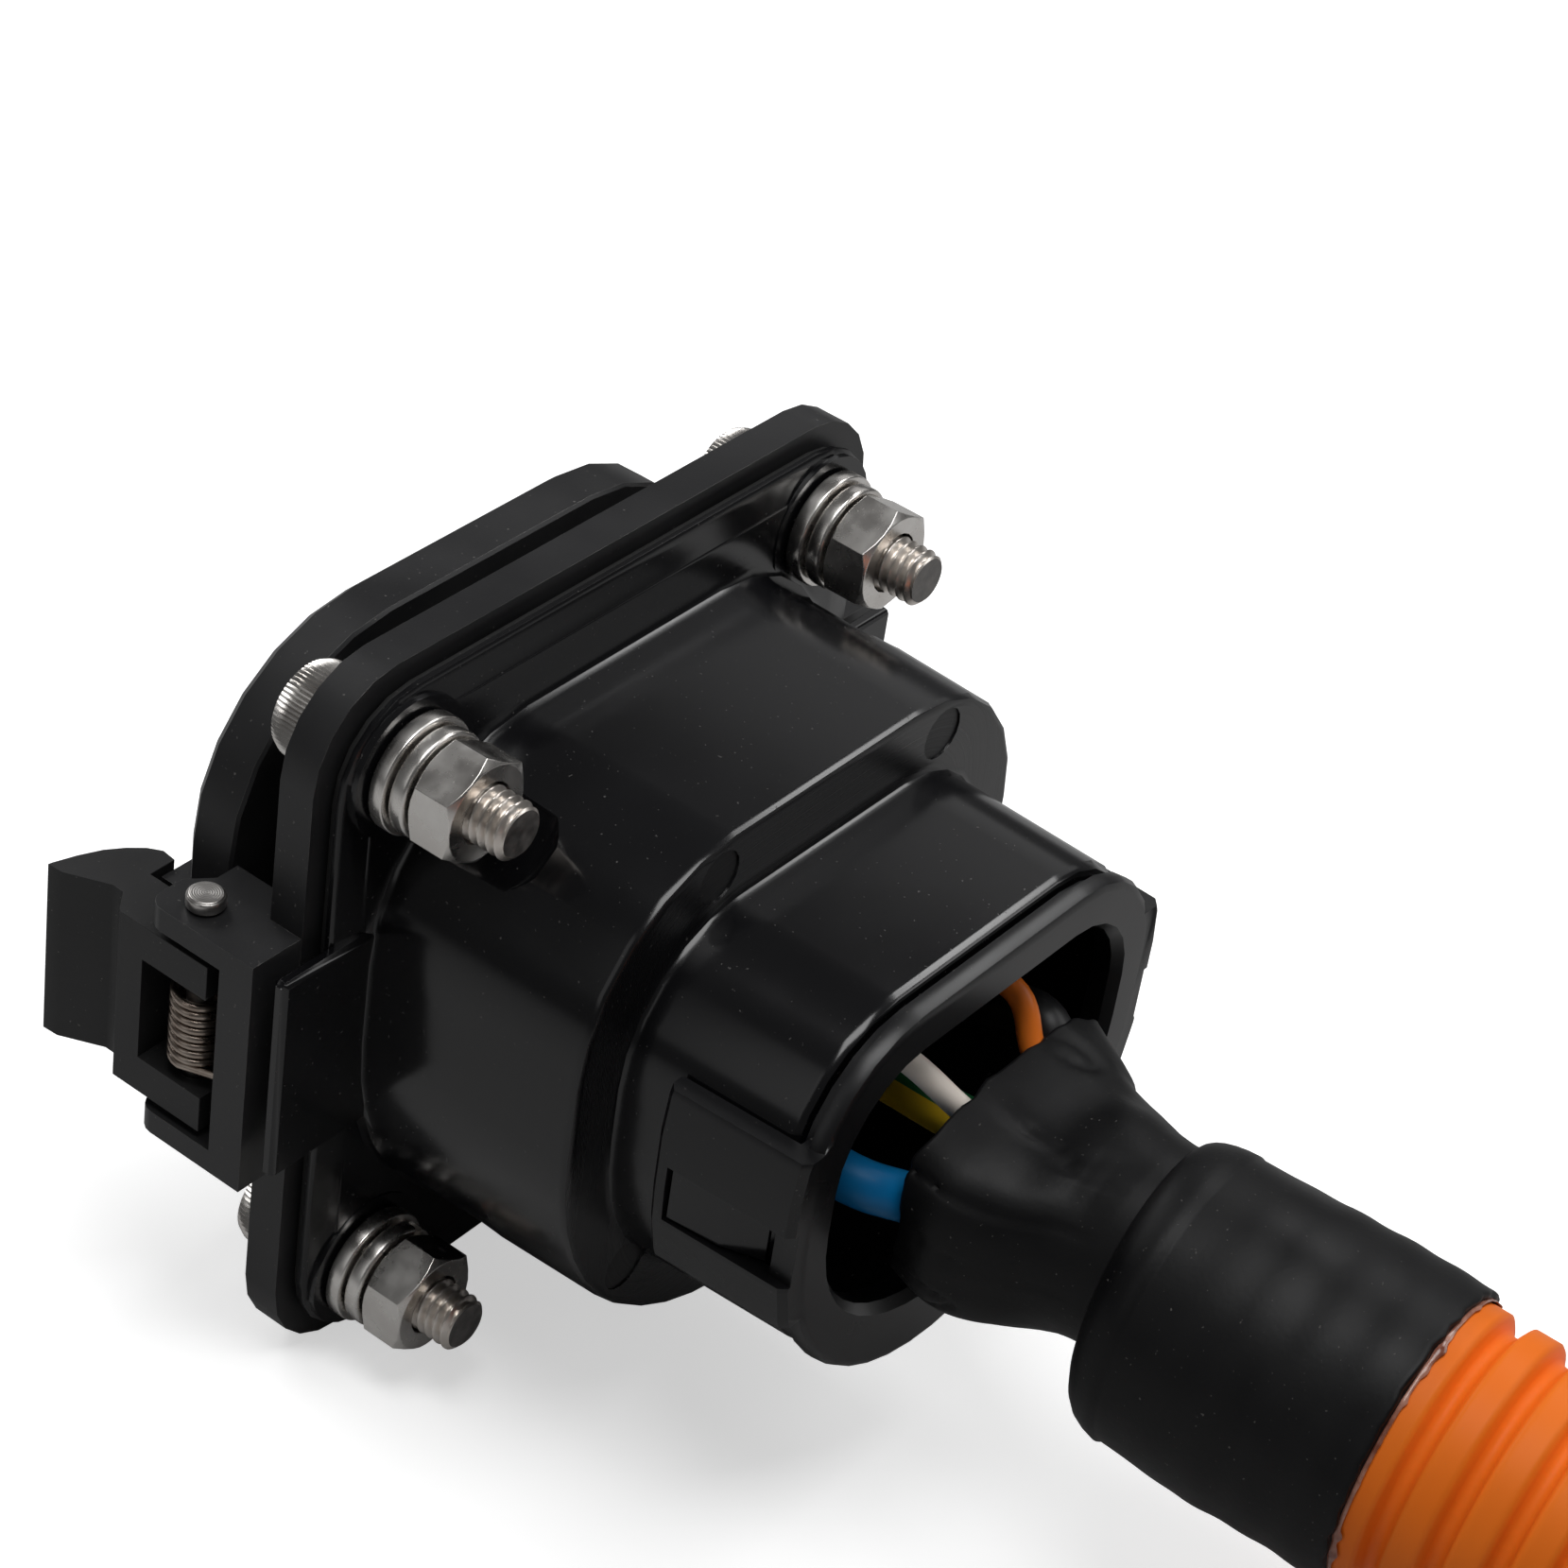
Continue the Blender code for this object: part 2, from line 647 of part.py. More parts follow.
def makeHousingCuts():
    """The mating groove round the island, its contact wells, the rear cavity and the small marks outside."""
    groove = dLoft([(rimFront - mm, grooveSection, 0), (grooveFloor, grooveSection, -0.2 * mm)])
    island = dLoft([(islandFront, islandSection, -0.3 * mm), (islandFront + 0.8 * mm, islandSection, 0),
                    (grooveFloor + mm, islandSection, 0.1 * mm)])
    found = [cut(groove, [island])]
    found.append(dLoft([(webRear, tailRear, -tailWall), (tailEnd + mm, tailRear, -tailWall)]))
    for x, z, power in contacts.values():
        well = powerWell if power else signalWell
        bore = (powerPin if power else signalPin) + runGap
        found.append(cylinderY(well, islandFront - mm, grooveFloor - 3 * mm, (x, z), 24))
        found.append(cylinderY(bore, grooveFloor - 4 * mm, webRear + mm, (x, z), 16))
    for place in spares:
        found.append(cylinderY(powerWell, islandFront - mm, grooveFloor - 3 * mm, place, 24))
    for x, z in boltPlaces():
        radius = reliefRadius if z > 0 else reliefRadiusLow
        found.append(cylinderY(boltHoleRadius, flangeFront - mm, flangeRear + mm, (x, z)))
        low = flangeRear + 0.25 * mm
        found.append(turned([(0, 0), (radius, 0), (radius, reliefEnd - low - 2 * mm),
                             (radius - 1.3 * mm, reliefEnd - low), (0, reliefEnd - low)], alongY(x, low, z), 28))
    for x, z in ejectorPlaces:
        found.append(cylinderY(ejectorRadius, bodyEnd - ejectorDepth, bodyEnd + 0.6 * mm, (x, z), 16))
    return found


def makeContacts():
    """Five male contacts with a collar behind the web and a crimped barrel for the wire."""
    for name, (x, z, power) in contacts.items():
        radius = powerPin if power else signalPin
        barrel = powerBarrel if power else signalBarrel
        wire = powerWire if power else signalWire
        tip = pinTip if power else pinTip + 2 * mm
        collarLow = webRear + touchGap
        collarHigh = collarLow + collarThickness
        end = collarHigh + barrelLength
        profile = [
            (0, tip), (0.45 * radius, tip), (0.85 * radius, tip + 0.4 * radius), (radius, tip + 1.1 * radius),
            (radius, collarLow), (barrel + 1 * mm, collarLow), (barrel + 1 * mm, collarHigh), (barrel, collarHigh),
            (barrel, end), (wire + touchGap, end), (wire + touchGap, end - barrelBore), (0, end - barrelBore),
        ]
        finish(f"pin_{name}", turned(profile, alongY(x, 0, z), 16), silver)


def makeRetainer():
    """A plate clipped inside the tail, which holds the contacts by their collars."""
    low = webRear + touchGap + collarThickness + touchGap
    outline = dOutline(tailRear, -tailWall - touchGap)
    holes = []
    for x, z, power in contacts.values():
        holes.append(circleOutline((powerBarrel if power else signalBarrel) + 0.3 * mm, (x, z), 16))
    for place in spares:
        holes.append(circleOutline(powerBarrel, place, 16))
    return finish("contact_retainer", slab([outline] + holes, low, low + retainerThickness), mattBlack, smooth=False)


def makeRearCap():
    """A ring with a large window, held by two clip arms over the catches of the tail."""
    front = tailEnd + touchGap
    ring = dLoft([
        (front, capRim, -capGroove),
        (capGrooveEnd, capRim, -capGroove),
        (capGrooveEnd + 0.1 * mm, capRim, 0),
        (capRear - capEdge, capRim, 0),
        (capRear - 0.3 * capEdge, capRim, -0.3 * capEdge),
        (capRear, capRim, -capEdge),
    ])
    ring = cut(ring, [dLoft([(front - mm, capWindow, 0), (capRear - 1 * mm, capWindow, 0),
                             (capRear + 0.5 * mm, capWindow, 1.2 * mm)])])
    grown = touchGap + armThickness
    shell = dLoft([(armFront, tailBase, grown - armEdge), (armFront + armEdge, tailBase, grown),
                   (armRear - armEdge, tailRear, grown), (armRear, tailRear, grown - armEdge)])
    shell = cut(shell, [dLoft([(armFront - mm, tailBase, touchGap), (front + 0.4 * mm, tailRear, touchGap),
                               (front + 0.5 * mm, tailRear, -1.5 * mm), (armRear + mm, tailRear, -1.5 * mm)])])
    reach = 40 * mm
    arms = []
    for sign in (1, -1):
        near, far = sorted((sign * 14 * mm, sign * reach))
        arm = common(shell.copy(), [box((near, armFront - mm, armBottom), (far, armRear + mm, armTop))])
        near, far = sorted((sign * 20 * mm, sign * reach))
        window = box((near, catchFront, catchBottom), (far, catchRear, catchTop))
        near, far = sorted((sign * (tailRear[0] + grown - releaseDepth), sign * reach))
        release = box((near, catchRear - mm, catchBottom), (far, armRear + mm, catchTop - 0.2 * mm))
        arms.append(cut(arm, [window, release]))
    return finish("rear_cap", join(ring, arms), glossBlack)


def makeCover():
    """The hinged cover: a thick metal D with a chamfered front, a catch tab and a hinge knuckle."""
    front = coverFront
    body = dLoft([
        (coverRear, coverSection, -0.3 * mm),
        (coverRear - 0.3 * mm, coverSection, 0),
        (front + coverChamfer, coverSection, 0),
        (front, coverSection, -coverChamfer),
    ])
    body.transform(Matrix.Translation((coverShift, 0, 0)))
    edge = coverShift + coverSection[0]
    tab = box((edge - 5 * mm, coverTabFront, -coverTabHeight / 2), (coverTabReach, coverTabRear, coverTabHeight / 2))
    inner = coverShift - coverSection[0] + 5 * mm
    outline = arc(hingeX, hingeY, hingeOuter, hingeOuter, 60, 270, 12)
    outline += [(hingeX + 2 * mm, hingeY - hingeOuter - mm), (inner, front + 1.4 * mm), (inner, coverRear - 0.6 * mm),
                (hingeX + hingeOuter + 0.6 * mm, coverRear - 0.6 * mm)]
    knuckle = slab([outline], -knuckleHeight / 2, knuckleHeight / 2, "XY")
    bore = pinBore(hingePin + runGap, hingeX, hingeY, -hingeHeight, hingeHeight)
    recess = dLoft([(coverRear + mm, rimSection, -4 * mm), (coverRear - 2 * mm, rimSection, -5 * mm)])
    return finish("cover", cut(join(body, [tab, knuckle]), [bore, recess]), anodised, smooth=False)


def makeCoverSeal():
    """A soft ring on the back of the cover, which meets the front rim of the housing."""
    loops = [dOutline(rimSection, 0.2 * mm), dOutline(rimSection, 0.2 * mm - sealWidth)]
    return finish("cover_seal", slab(loops, coverRear + touchGap, rimFront - touchGap), rubber, smooth=False)


def makeHingePin():
    half = hingeHeight / 2
    profile = [(0, -half), (hingePin, -half), (hingePin, half), (hingePin + 0.8 * mm, half + touchGap),
               (hingePin + 0.8 * mm, half + 1.2 * mm), (hingePin + 0.4 * mm, half + 1.5 * mm), (0, half + 1.5 * mm)]
    return finish("hinge_pin", turned(profile, Matrix.Translation((hingeX, hingeY, 0)), coarseSides), stainless)


def makeLatch():
    """The sprung lever: one extruded profile with a finger tab, a hook and a window for the spring."""
    outer = latchOuter
    hookFace = coverTabFront - touchGap
    profile = [(outer, latchRear)] + [(outer - inset, latchTip + along) for inset, along in fingerProfile]
    profile += [(latchNose, latchTip + hookRise), (latchNose + 0.2 * mm, hookFace), (latchInner, hookFace),
                (latchInner, latchRear - latchHeel), (latchInner + latchHeel, latchRear)]
    lever = softenEdges(slab([profile], latchLow, latchTop, "XY"), 0.25 * mm)
    front, low, high = latchWindow
    window = box((latchInner - 6 * mm, front, low), (outer + 6 * mm, 0, high))
    bore = pinBore(latchPinRadius + runGap, latchPinX, latchPinY, latchLow - mm, latchTop + mm)
    return finish("latch_lever", cut(lever, [window, bore]), mattBlack, smooth=False)


def makeLatchPin():
    """A headed pin through both ears of the bracket and both arms of the lever."""
    low = bracketLow - touchGap
    high = bracketTop + touchGap
    shaft = latchPinRadius
    head = latchPinHead
    top = bracketTop + latchPinProud
    profile = [(0, low - mm), (head - 0.3 * mm, low - mm), (head, low - 0.7 * mm), (head, low), (shaft, low),
               (shaft, high), (head, high), (head, top - 0.3 * mm), (head - 0.3 * mm, top), (0, top)]
    return finish("latch_pin", turned(profile, Matrix.Translation((latchPinX, latchPinY, 0)), 24), stainless)


def makeLatchSpring():
    """A torsion spring round the latch pin, its legs on the bracket and on the lever."""
    perTurn = 12
    low = (latchWindow[1] + latchWindow[2] - springLength) / 2
    points = [(latchPinX + springRadius - springLegSlant, webFront - springWire - touchGap, low)]
    for step in range(springTurns * perTurn + perTurn // 2 + 1):
        angle = -2 * math.pi * step / perTurn
        points.append((latchPinX + springRadius * math.cos(angle), latchPinY + springRadius * math.sin(angle),
                       low + springLength * step / (springTurns * perTurn + perTurn // 2)))
    points.append((latchPinX - springRadius, latchWindow[0] + springWire + touchGap, low + springLength))
    return finish("latch_spring", tube(points, springWire, 1), stainless)


def sleeveRing(along, radius, share):
    """One ring square to the sleeve's axis: share 1 centres it on the boot's neck, share 0 on the conduit."""
    start, end = Vector(sleeveStart), Vector(sleeveEnd)
    place = Matrix.Translation(start) @ (end - start).to_track_quat("Z", "Y").to_matrix().to_4x4()
    shift = share * neckOffset()
    return [place @ Vector((x, y, along)) + shift for x, y in circleOutline(radius, sides=fineSides)]


def neckOffset():
    """How far the boot's neck lies beside the sleeve's axis."""
    x, y, z = bootRings[-1][:3]
    start, end = Vector(sleeveStart), Vector(sleeveEnd)
    onAxis = start + (end - start) * (y - start.y) / (end.y - start.y)
    return Vector((x - onAxis.x, 0, z - onAxis.z))


def makeSleeve():
    """The outer heat-shrink sleeve over the boot's neck and the end of the conduit."""
    length = (Vector(sleeveEnd) - Vector(sleeveStart)).length
    outer = sleeveRadius
    neck = bootRings[-1][3] + touchGap
    inner = leadRadius + touchGap
    rings = [sleeveRing(*values) for values in (
        (0, neck, 1), (0, neck + 0.7 * mm, 1), (0.9 * mm, outer - 2.0 * mm, 0.4), (2.2 * mm, outer - 0.8 * mm, 0.1),
        (4.5 * mm, outer - 0.3 * mm, 0), (length, outer, 0), (length, inner, 0), (sleeveShoulder, inner, 0),
        (sleeveShoulder, neck, 1),
    )]
    return finish("outer_sleeve", loftRings(rings, closed=True), shrink)


def makeBoot():
    """The inner heat-shrink boot: a wide flattened mouth that narrows to a round neck, hollow at the mouth."""
    rings = [bootRing(*values, bootWall) for values in reversed(bootRings[:3])]
    rings += [bootRing(*values, 0) for values in bootRings]
    x, y, z, halfX, halfZ = bootRings[-1]
    start = Vector(sleeveStart)
    axis = (Vector(sleeveEnd) - start).normalized()
    end = start + neckOffset() + axis * bootNeckEnd
    rings.append(bootRing(*end, halfX, halfZ, 0))
    return finish("inner_boot", loftRings(rings), shrink)


def bootRing(x, y, z, halfX, halfZ, inset):
    return [(x + across, y, z + up) for across, up in arc(0, 0, halfX - inset, halfZ - inset, 0, 345, 23)]


wirePaths = {
    "blue": ("n", (13.6 * mm, -1.4 * mm), (9.0 * mm, -4.0 * mm), (4.0 * mm, -7.3 * mm)),
    "black": ("l1", (-14.0 * mm, 2.6 * mm), (-12.8 * mm, -0.4 * mm), (-9.2 * mm, -4.6 * mm)),
    "green_yellow": ("pe", (-0.3 * mm, -1.2 * mm), (-1.6 * mm, -2.2 * mm), (-2.6 * mm, -5.2 * mm)),
    "white": ("pp", (6.9 * mm, 8.6 * mm), (3.3 * mm, 3.4 * mm), (0.2 * mm, -0.6 * mm)),
    "orange": ("cp", (-8.9 * mm, 8.6 * mm), (-7.6 * mm, 3.8 * mm), (-7.2 * mm, 0.2 * mm)),
}


def makeWires():
    """Each wire runs from its contact's barrel through the window into the boot."""
    barrelEnd = webRear + touchGap + collarThickness + barrelLength
    colors = {"blue": blueWire, "black": blackWire, "green_yellow": greenWire, "white": whiteWire, "orange": orangeWire}
    for name, (contact, bend, mouth, pocket) in wirePaths.items():
        x, z, power = contacts[contact]
        straight = [(x, barrelEnd + along, z) for along in (touchGap - barrelBore, -1.5 * mm, 0.5 * mm, 2 * mm)]
        stations = ((bend, wireBendY), (mouth, bootRings[0][1] - mm), (pocket, bootRings[2][1] - 1.6 * mm))
        free = [(place[0], y, place[1]) for place, y in stations]
        route = smoothRoute(straight + free, 1.6 * mm)
        finish(f"wire_{name}", tube(route, powerWire if power else signalWire, 2), colors[name])


def makeLead():
    """The free lead: the corrugated conduit as a plain tube, its end boot and the wire tails."""
    route = smoothRoute(leadRoute, 2.1 * leadRadius)
    finish("conduit", tube(route, leadRadius, 3), orangeConduit)
    along = (route[-1] - route[-2]).normalized()
    start = route[-1] + along * touchGap
    place = Matrix.Translation(start) @ along.to_track_quat("Z", "Y").to_matrix().to_4x4()
    tailCircle = 5.2 * mm
    profile = [(0, 0), (leadRadius, 0), (leadRadius, 4 * mm), (leadRadius - 1.5 * mm, 0.35 * endBootLength),
               (9.6 * mm, 0.62 * endBootLength), (8.8 * mm, endBootLength), (0, endBootLength)]
    finish("end_boot", turned(profile, place, fineSides), shrink)
    tails = [("blue", powerWire, 90, blueWire), ("black", powerWire, 210, blackWire),
             ("green_yellow", powerWire, 330, greenWire), ("white", signalWire, 30, whiteWire),
             ("orange", signalWire, 150, orangeWire)]
    for name, radius, turn, material in tails:
        angle = math.radians(turn)
        offset = Vector((tailCircle * math.cos(angle), tailCircle * math.sin(angle), endBootLength + touchGap))
        points = []
        for step in range(5):
            share = step / 4
            spread = 1 + 0.5 * share * share
            points.append(place @ Vector((offset.x * spread, offset.y * spread, offset.z + tailLength * share)))
        finish(f"tail_{name}", tube(points, radius, 2), material)


def restOnBase():
    """Hangs everything from empties, so that the origin is under the middle of the standing parts."""
    root = bpy.data.objects.new("charge_inlet", None)
    partCollection.objects.link(root)
    onLead = ("conduit", "end_boot", "tail_")
    low = Vector((1e9, 1e9, 1e9))
    high = -low
    for name, item in pieces.items():
        if name.startswith(onLead):
            continue
        for vert in item.data.vertices:
            low = Vector(map(min, low, vert.co))
            high = Vector(map(max, high, vert.co))
    root.location = (-(low.x + high.x) / 2, -(low.y + high.y) / 2, -low.z)
    pivots = {
        "cover_axis": ((hingeX, hingeY, 0), ("cover", "cover_seal")),
        "latch_axis": ((latchPinX, latchPinY, 0), ("latch_lever",)),
    }
    moving = {}
    for name, (place, carried) in pivots.items():
        pivot = bpy.data.objects.new(name, None)
        partCollection.objects.link(pivot)
        pivot.location = place
        pivot.parent = root
        for piece in carried:
            moving[piece] = pivot
    for name, item in pieces.items():
        carrier = moving.get(name, root)
        item.parent = carrier
        if carrier is not root:
            item.matrix_parent_inverse = Matrix.Translation(-carrier.location)
    bpy.context.view_layer.update()
    print("origin moved by", [round(value * 1000, 3) for value in root.location])


clearScene()
partCollection = makeCollection("charge_inlet")
cutterCollection = makeCollection("cutters")
cutterCollection.hide_render = True
pieces = {}

anodised = makeMaterial("anodised", (0.025, 0.025, 0.027), 0.6, 0.42)
glossBlack = makeMaterial("gloss_black", (0.012, 0.012, 0.014), 0.0, 0.22)
mattBlack = makeMaterial("matt_black", (0.02, 0.02, 0.02), 0.0, 0.55)
rubber = makeMaterial("rubber", (0.015, 0.015, 0.015), 0.0, 0.8)
shrink = makeMaterial("heat_shrink", (0.018, 0.018, 0.019), 0.0, 0.6)
stainless = makeMaterial("stainless", (0.62, 0.61, 0.59), 1.0, 0.25)
silver = makeMaterial("silver", (0.8, 0.79, 0.76), 1.0, 0.3)
orangeConduit = makeMaterial("orange_conduit", (0.75, 0.16, 0.02), 0.0, 0.45)
blueWire = makeMaterial("blue_wire", (0.01, 0.16, 0.5), 0.0, 0.4)
blackWire = makeMaterial("black_wire", (0.02, 0.02, 0.02), 0.0, 0.4)
greenWire = makeMaterial("green_wire", (0.05, 0.3, 0.06), 0.0, 0.4)
whiteWire = makeMaterial("white_wire", (0.8, 0.74, 0.68), 0.0, 0.4)
orangeWire = makeMaterial("orange_wire", (0.8, 0.2, 0.02), 0.0, 0.4)

makeFramePlate()
makeGasket()
makeFasteners()
makeHousing()
makeContacts()
makeRetainer()
makeRearCap()
makeCover()
makeCoverSeal()
makeHingePin()
makeLatch()
makeLatchPin()
makeLatchSpring()
makeSleeve()
makeBoot()
makeWires()
makeLead()
restOnBase()
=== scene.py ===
import math

import bmesh
import bpy
from mathutils import Matrix, Quaternion, Vector, noise


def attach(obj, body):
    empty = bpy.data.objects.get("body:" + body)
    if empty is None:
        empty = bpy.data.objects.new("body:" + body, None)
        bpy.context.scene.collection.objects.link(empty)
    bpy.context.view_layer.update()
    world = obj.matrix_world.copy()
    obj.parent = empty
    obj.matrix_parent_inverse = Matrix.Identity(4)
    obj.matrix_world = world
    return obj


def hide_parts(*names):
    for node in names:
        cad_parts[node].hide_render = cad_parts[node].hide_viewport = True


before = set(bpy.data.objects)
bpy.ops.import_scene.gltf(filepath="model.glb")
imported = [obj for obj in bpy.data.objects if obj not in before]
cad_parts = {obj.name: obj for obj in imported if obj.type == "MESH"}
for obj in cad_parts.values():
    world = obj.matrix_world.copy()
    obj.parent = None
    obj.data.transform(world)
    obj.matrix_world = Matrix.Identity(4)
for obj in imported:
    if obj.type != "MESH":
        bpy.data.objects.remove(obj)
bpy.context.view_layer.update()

mm = 0.001
print("stage: frame loaded")

inletOrigin = Vector((0.2, -36.968, 40.0)) * mm  # the inlet axis at the rear face of the frame plate


def at(x, y, z):  # a point in the inlet's own millimetres
    return inletOrigin + Vector((x, y, z)) * mm


def standAt(origin, ahead):  # a place whose upright axis points ahead
    return Matrix.Translation(origin) @ ahead.to_track_quat("Z", "Y").to_matrix().to_4x4()


def addToScene(name, data):
    item = bpy.data.objects.new(name, data)
    bpy.context.scene.collection.objects.link(item)
    return item


# Camera: the photographed view, from behind and above on the latch side
cameraSet = {"azimuth": 123.162, "elevation": 36.294, "roll": 8.978, "place": (268.5, 198.0, 259.8),
             "lens": 98.39, "sensor": 36.0, "nearest": 0.01, "farthest": 20}


def makeCamera():
    data = bpy.data.cameras.new("camera")
    data.lens = cameraSet["lens"]
    data.sensor_width = cameraSet["sensor"]
    data.clip_start = cameraSet["nearest"]
    data.clip_end = cameraSet["farthest"]
    camera = addToScene("camera", data)
    turn, rise = math.radians(cameraSet["azimuth"]), math.radians(cameraSet["elevation"])
    back = Vector((math.sin(turn) * math.cos(rise), -math.cos(turn) * math.cos(rise), math.sin(rise)))
    camera.rotation_mode = "QUATERNION"
    camera.rotation_quaternion = ((-back).to_track_quat("-Z", "Y")
                                  @ Quaternion((0, 0, 1), math.radians(cameraSet["roll"])))
    camera.location = at(*cameraSet["place"])
    bpy.context.scene.camera = camera


# Lamps: broad soft boxes aimed at the housing, in millimetres and watts
lampSet = {
    "overhead": {"place": (60, 120, 620), "aim": (0, 20, 0), "size": (420, 300), "watts": 2.2},
    "latchSide": {"place": (520, -60, 300), "aim": (0, 20, 0), "size": (220, 420), "watts": 0.15},
    "farHigh": {"place": (-470, 30, 520), "aim": (0, 20, 0), "size": (320, 110), "watts": 0.8},
    "farLow": {"place": (-600, -140, 350), "aim": (0, 20, 0), "size": (420, 300), "watts": 0.17},
    "rearRight": {"place": (-420, 420, 420), "aim": (0, 30, 0), "size": (420, 260), "watts": 0.8},
    "front": {"place": (-60, -520, 360), "aim": (0, 0, 0), "size": (420, 260), "watts": 1.3},
}


def makeLamps():
    for name, lamp in lampSet.items():
        data = bpy.data.lights.new(name, "AREA")
        data.shape = "RECTANGLE"
        data.size = lamp["size"][0] * mm
        data.size_y = lamp["size"][1] * mm
        data.energy = lamp["watts"]
        item = addToScene(name, data)
        item.location = at(*lamp["place"])
        item.rotation_mode = "QUATERNION"
        item.rotation_quaternion = (at(*lamp["aim"]) - item.location).to_track_quat("-Z", "Y")


worldSet = {"light": 0.11, "seen": 1.0}  # strength for the object, and for the camera


def makeWorld():
    world = bpy.data.worlds.new("studio")
    bpy.context.scene.world = world
    world.use_nodes = True
    nodes, links = world.node_tree.nodes, world.node_tree.links
    nodes.clear()
    path = nodes.new("ShaderNodeLightPath")
    lit = nodes.new("ShaderNodeBackground")
    lit.inputs["Strength"].default_value = worldSet["light"]
    seen = nodes.new("ShaderNodeBackground")
    seen.inputs["Strength"].default_value = worldSet["seen"]
    mix = nodes.new("ShaderNodeMixShader")
    links.new(path.outputs["Is Camera Ray"], mix.inputs["Fac"])
    links.new(lit.outputs[0], mix.inputs[1])
    links.new(seen.outputs[0], mix.inputs[2])
    out = nodes.new("ShaderNodeOutputWorld")
    links.new(mix.outputs[0], out.inputs["Surface"])


floorSet = {"size": 6000, "color": 0.86, "bounce": 0.5, "glow": 0.55}


def makeFloor():
    half = floorSet["size"] * mm / 2
    mesh = bpy.data.meshes.new("floor")
    mesh.from_pydata([(-half, -half, 0), (half, -half, 0), (half, half, 0), (-half, half, 0)], [], [(0, 1, 2, 3)])
    floor = addToScene("floor", mesh)
    material = bpy.data.materials.new("floorPaper")
    material.use_nodes = True
    nodes, links = material.node_tree.nodes, material.node_tree.links
    nodes.clear()
    paper = nodes.new("ShaderNodeBsdfDiffuse")
    paper.inputs["Color"].default_value = (floorSet["color"],) * 3 + (1,)
    glow = nodes.new("ShaderNodeEmission")
    glow.inputs["Strength"].default_value = floorSet["glow"]
    dimmer = nodes.new("ShaderNodeBsdfDiffuse")  # what the blacks mirror is a darker paper than the camera sees
    dimmer.inputs["Color"].default_value = (floorSet["bounce"],) * 3 + (1,)
    both = nodes.new("ShaderNodeAddShader")
    path = nodes.new("ShaderNodeLightPath")
    mix = nodes.new("ShaderNodeMixShader")
    out = nodes.new("ShaderNodeOutputMaterial")
    links.new(paper.outputs[0], both.inputs[0])
    links.new(glow.outputs[0], both.inputs[1])
    links.new(path.outputs["Is Camera Ray"], mix.inputs["Fac"])
    links.new(dimmer.outputs[0], mix.inputs[1])
    links.new(both.outputs[0], mix.inputs[2])
    links.new(mix.outputs[0], out.inputs["Surface"])
    mesh.materials.append(material)


def groupSocket(tree, name, kind, value=None, side="INPUT"):
    socket = tree.interface.new_socket(name=name, in_out=side, socket_type=kind)
    if value is not None:
        socket.default_value = value


def reckon(tree, operation, first, second=None):  # one math node; a number or a socket on each side
    node = tree.nodes.new("ShaderNodeMath")
    node.operation = operation
    for index, value in enumerate((first, second)):
        if isinstance(value, (int, float)):
            node.inputs[index].default_value = value
        elif value is not None:
            tree.links.new(value, node.inputs[index])
    return node.outputs[0]


def squareOf(tree, value, middle):  # the square of a value's distance from a middle
    return reckon(tree, "POWER", reckon(tree, "ABSOLUTE", reckon(tree, "SUBTRACT", value, middle)), 2.0)


# What all finishes share: grain, mottling and sparse dust specks
grainSet = {"fineDetail": 3.0, "broadDetail": 4.0, "speckScale": 2300, "speckFrom": 0.74, "speckFull": 0.8,
            "depth": 0.05, "dust": (0.22, 0.21, 0.2), "driftFrom": 0.35, "driftFull": 0.68, "roughFrom": 0.3,
            "roughFull": 0.7}


def makeGrainGroup():
    tree = bpy.data.node_groups.new("surfaceGrain", "ShaderNodeTree")
    groupSocket(tree, "Fine Scale", "NodeSocketFloat", 2500.0)
    groupSocket(tree, "Broad Scale", "NodeSocketFloat", 60.0)
    groupSocket(tree, "Speck Scale", "NodeSocketFloat", 3000.0)
    groupSocket(tree, "Speck Amount", "NodeSocketFloat", 0.2)
    groupSocket(tree, "Fine", "NodeSocketFloat", side="OUTPUT")
    groupSocket(tree, "Broad", "NodeSocketFloat", side="OUTPUT")
    groupSocket(tree, "Specks", "NodeSocketFloat", side="OUTPUT")
    nodes, links = tree.nodes, tree.links
    given = nodes.new("NodeGroupInput")
    out = nodes.new("NodeGroupOutput")
    place = nodes.new("ShaderNodeTexCoord")
    for name, detail in (("Fine", grainSet["fineDetail"]), ("Broad", grainSet["broadDetail"])):
        texture = nodes.new("ShaderNodeTexNoise")
        texture.inputs["Detail"].default_value = detail
        links.new(place.outputs["Object"], texture.inputs["Vector"])
        links.new(given.outputs[name + " Scale"], texture.inputs["Scale"])
        links.new(texture.outputs["Fac"], out.inputs[name])
    specks = nodes.new("ShaderNodeTexNoise")
    specks.inputs["Detail"].default_value = 1.0
    links.new(place.outputs["Object"], specks.inputs["Vector"])
    links.new(given.outputs["Speck Scale"], specks.inputs["Scale"])
    spread = nodes.new("ShaderNodeMapRange")
    spread.inputs["From Min"].default_value = grainSet["speckFrom"]
    spread.inputs["From Max"].default_value = grainSet["speckFull"]
    links.new(specks.outputs["Fac"], spread.inputs["Value"])
    links.new(given.outputs["Speck Amount"], spread.inputs["To Max"])
    links.new(spread.outputs["Result"], out.inputs["Specks"])
    return tree


# Marks of the mould on the rearward faces: lines that follow the outline, and rough ejector discs
mouldSet = {"lineScale": 5200, "lineDetail": 3.0, "lineRough": 0.22, "lineHeight": 9.0, "square": 5.0,
            "rearward": 0.9, "nearest": 20, "farthest": 36, "discs": ((15.6, 24.4), (-18.3, 23.8), (22.0, -19.0)),
            "discRadius": 2.75, "discRough": 0.2, "discHeight": 30.0}


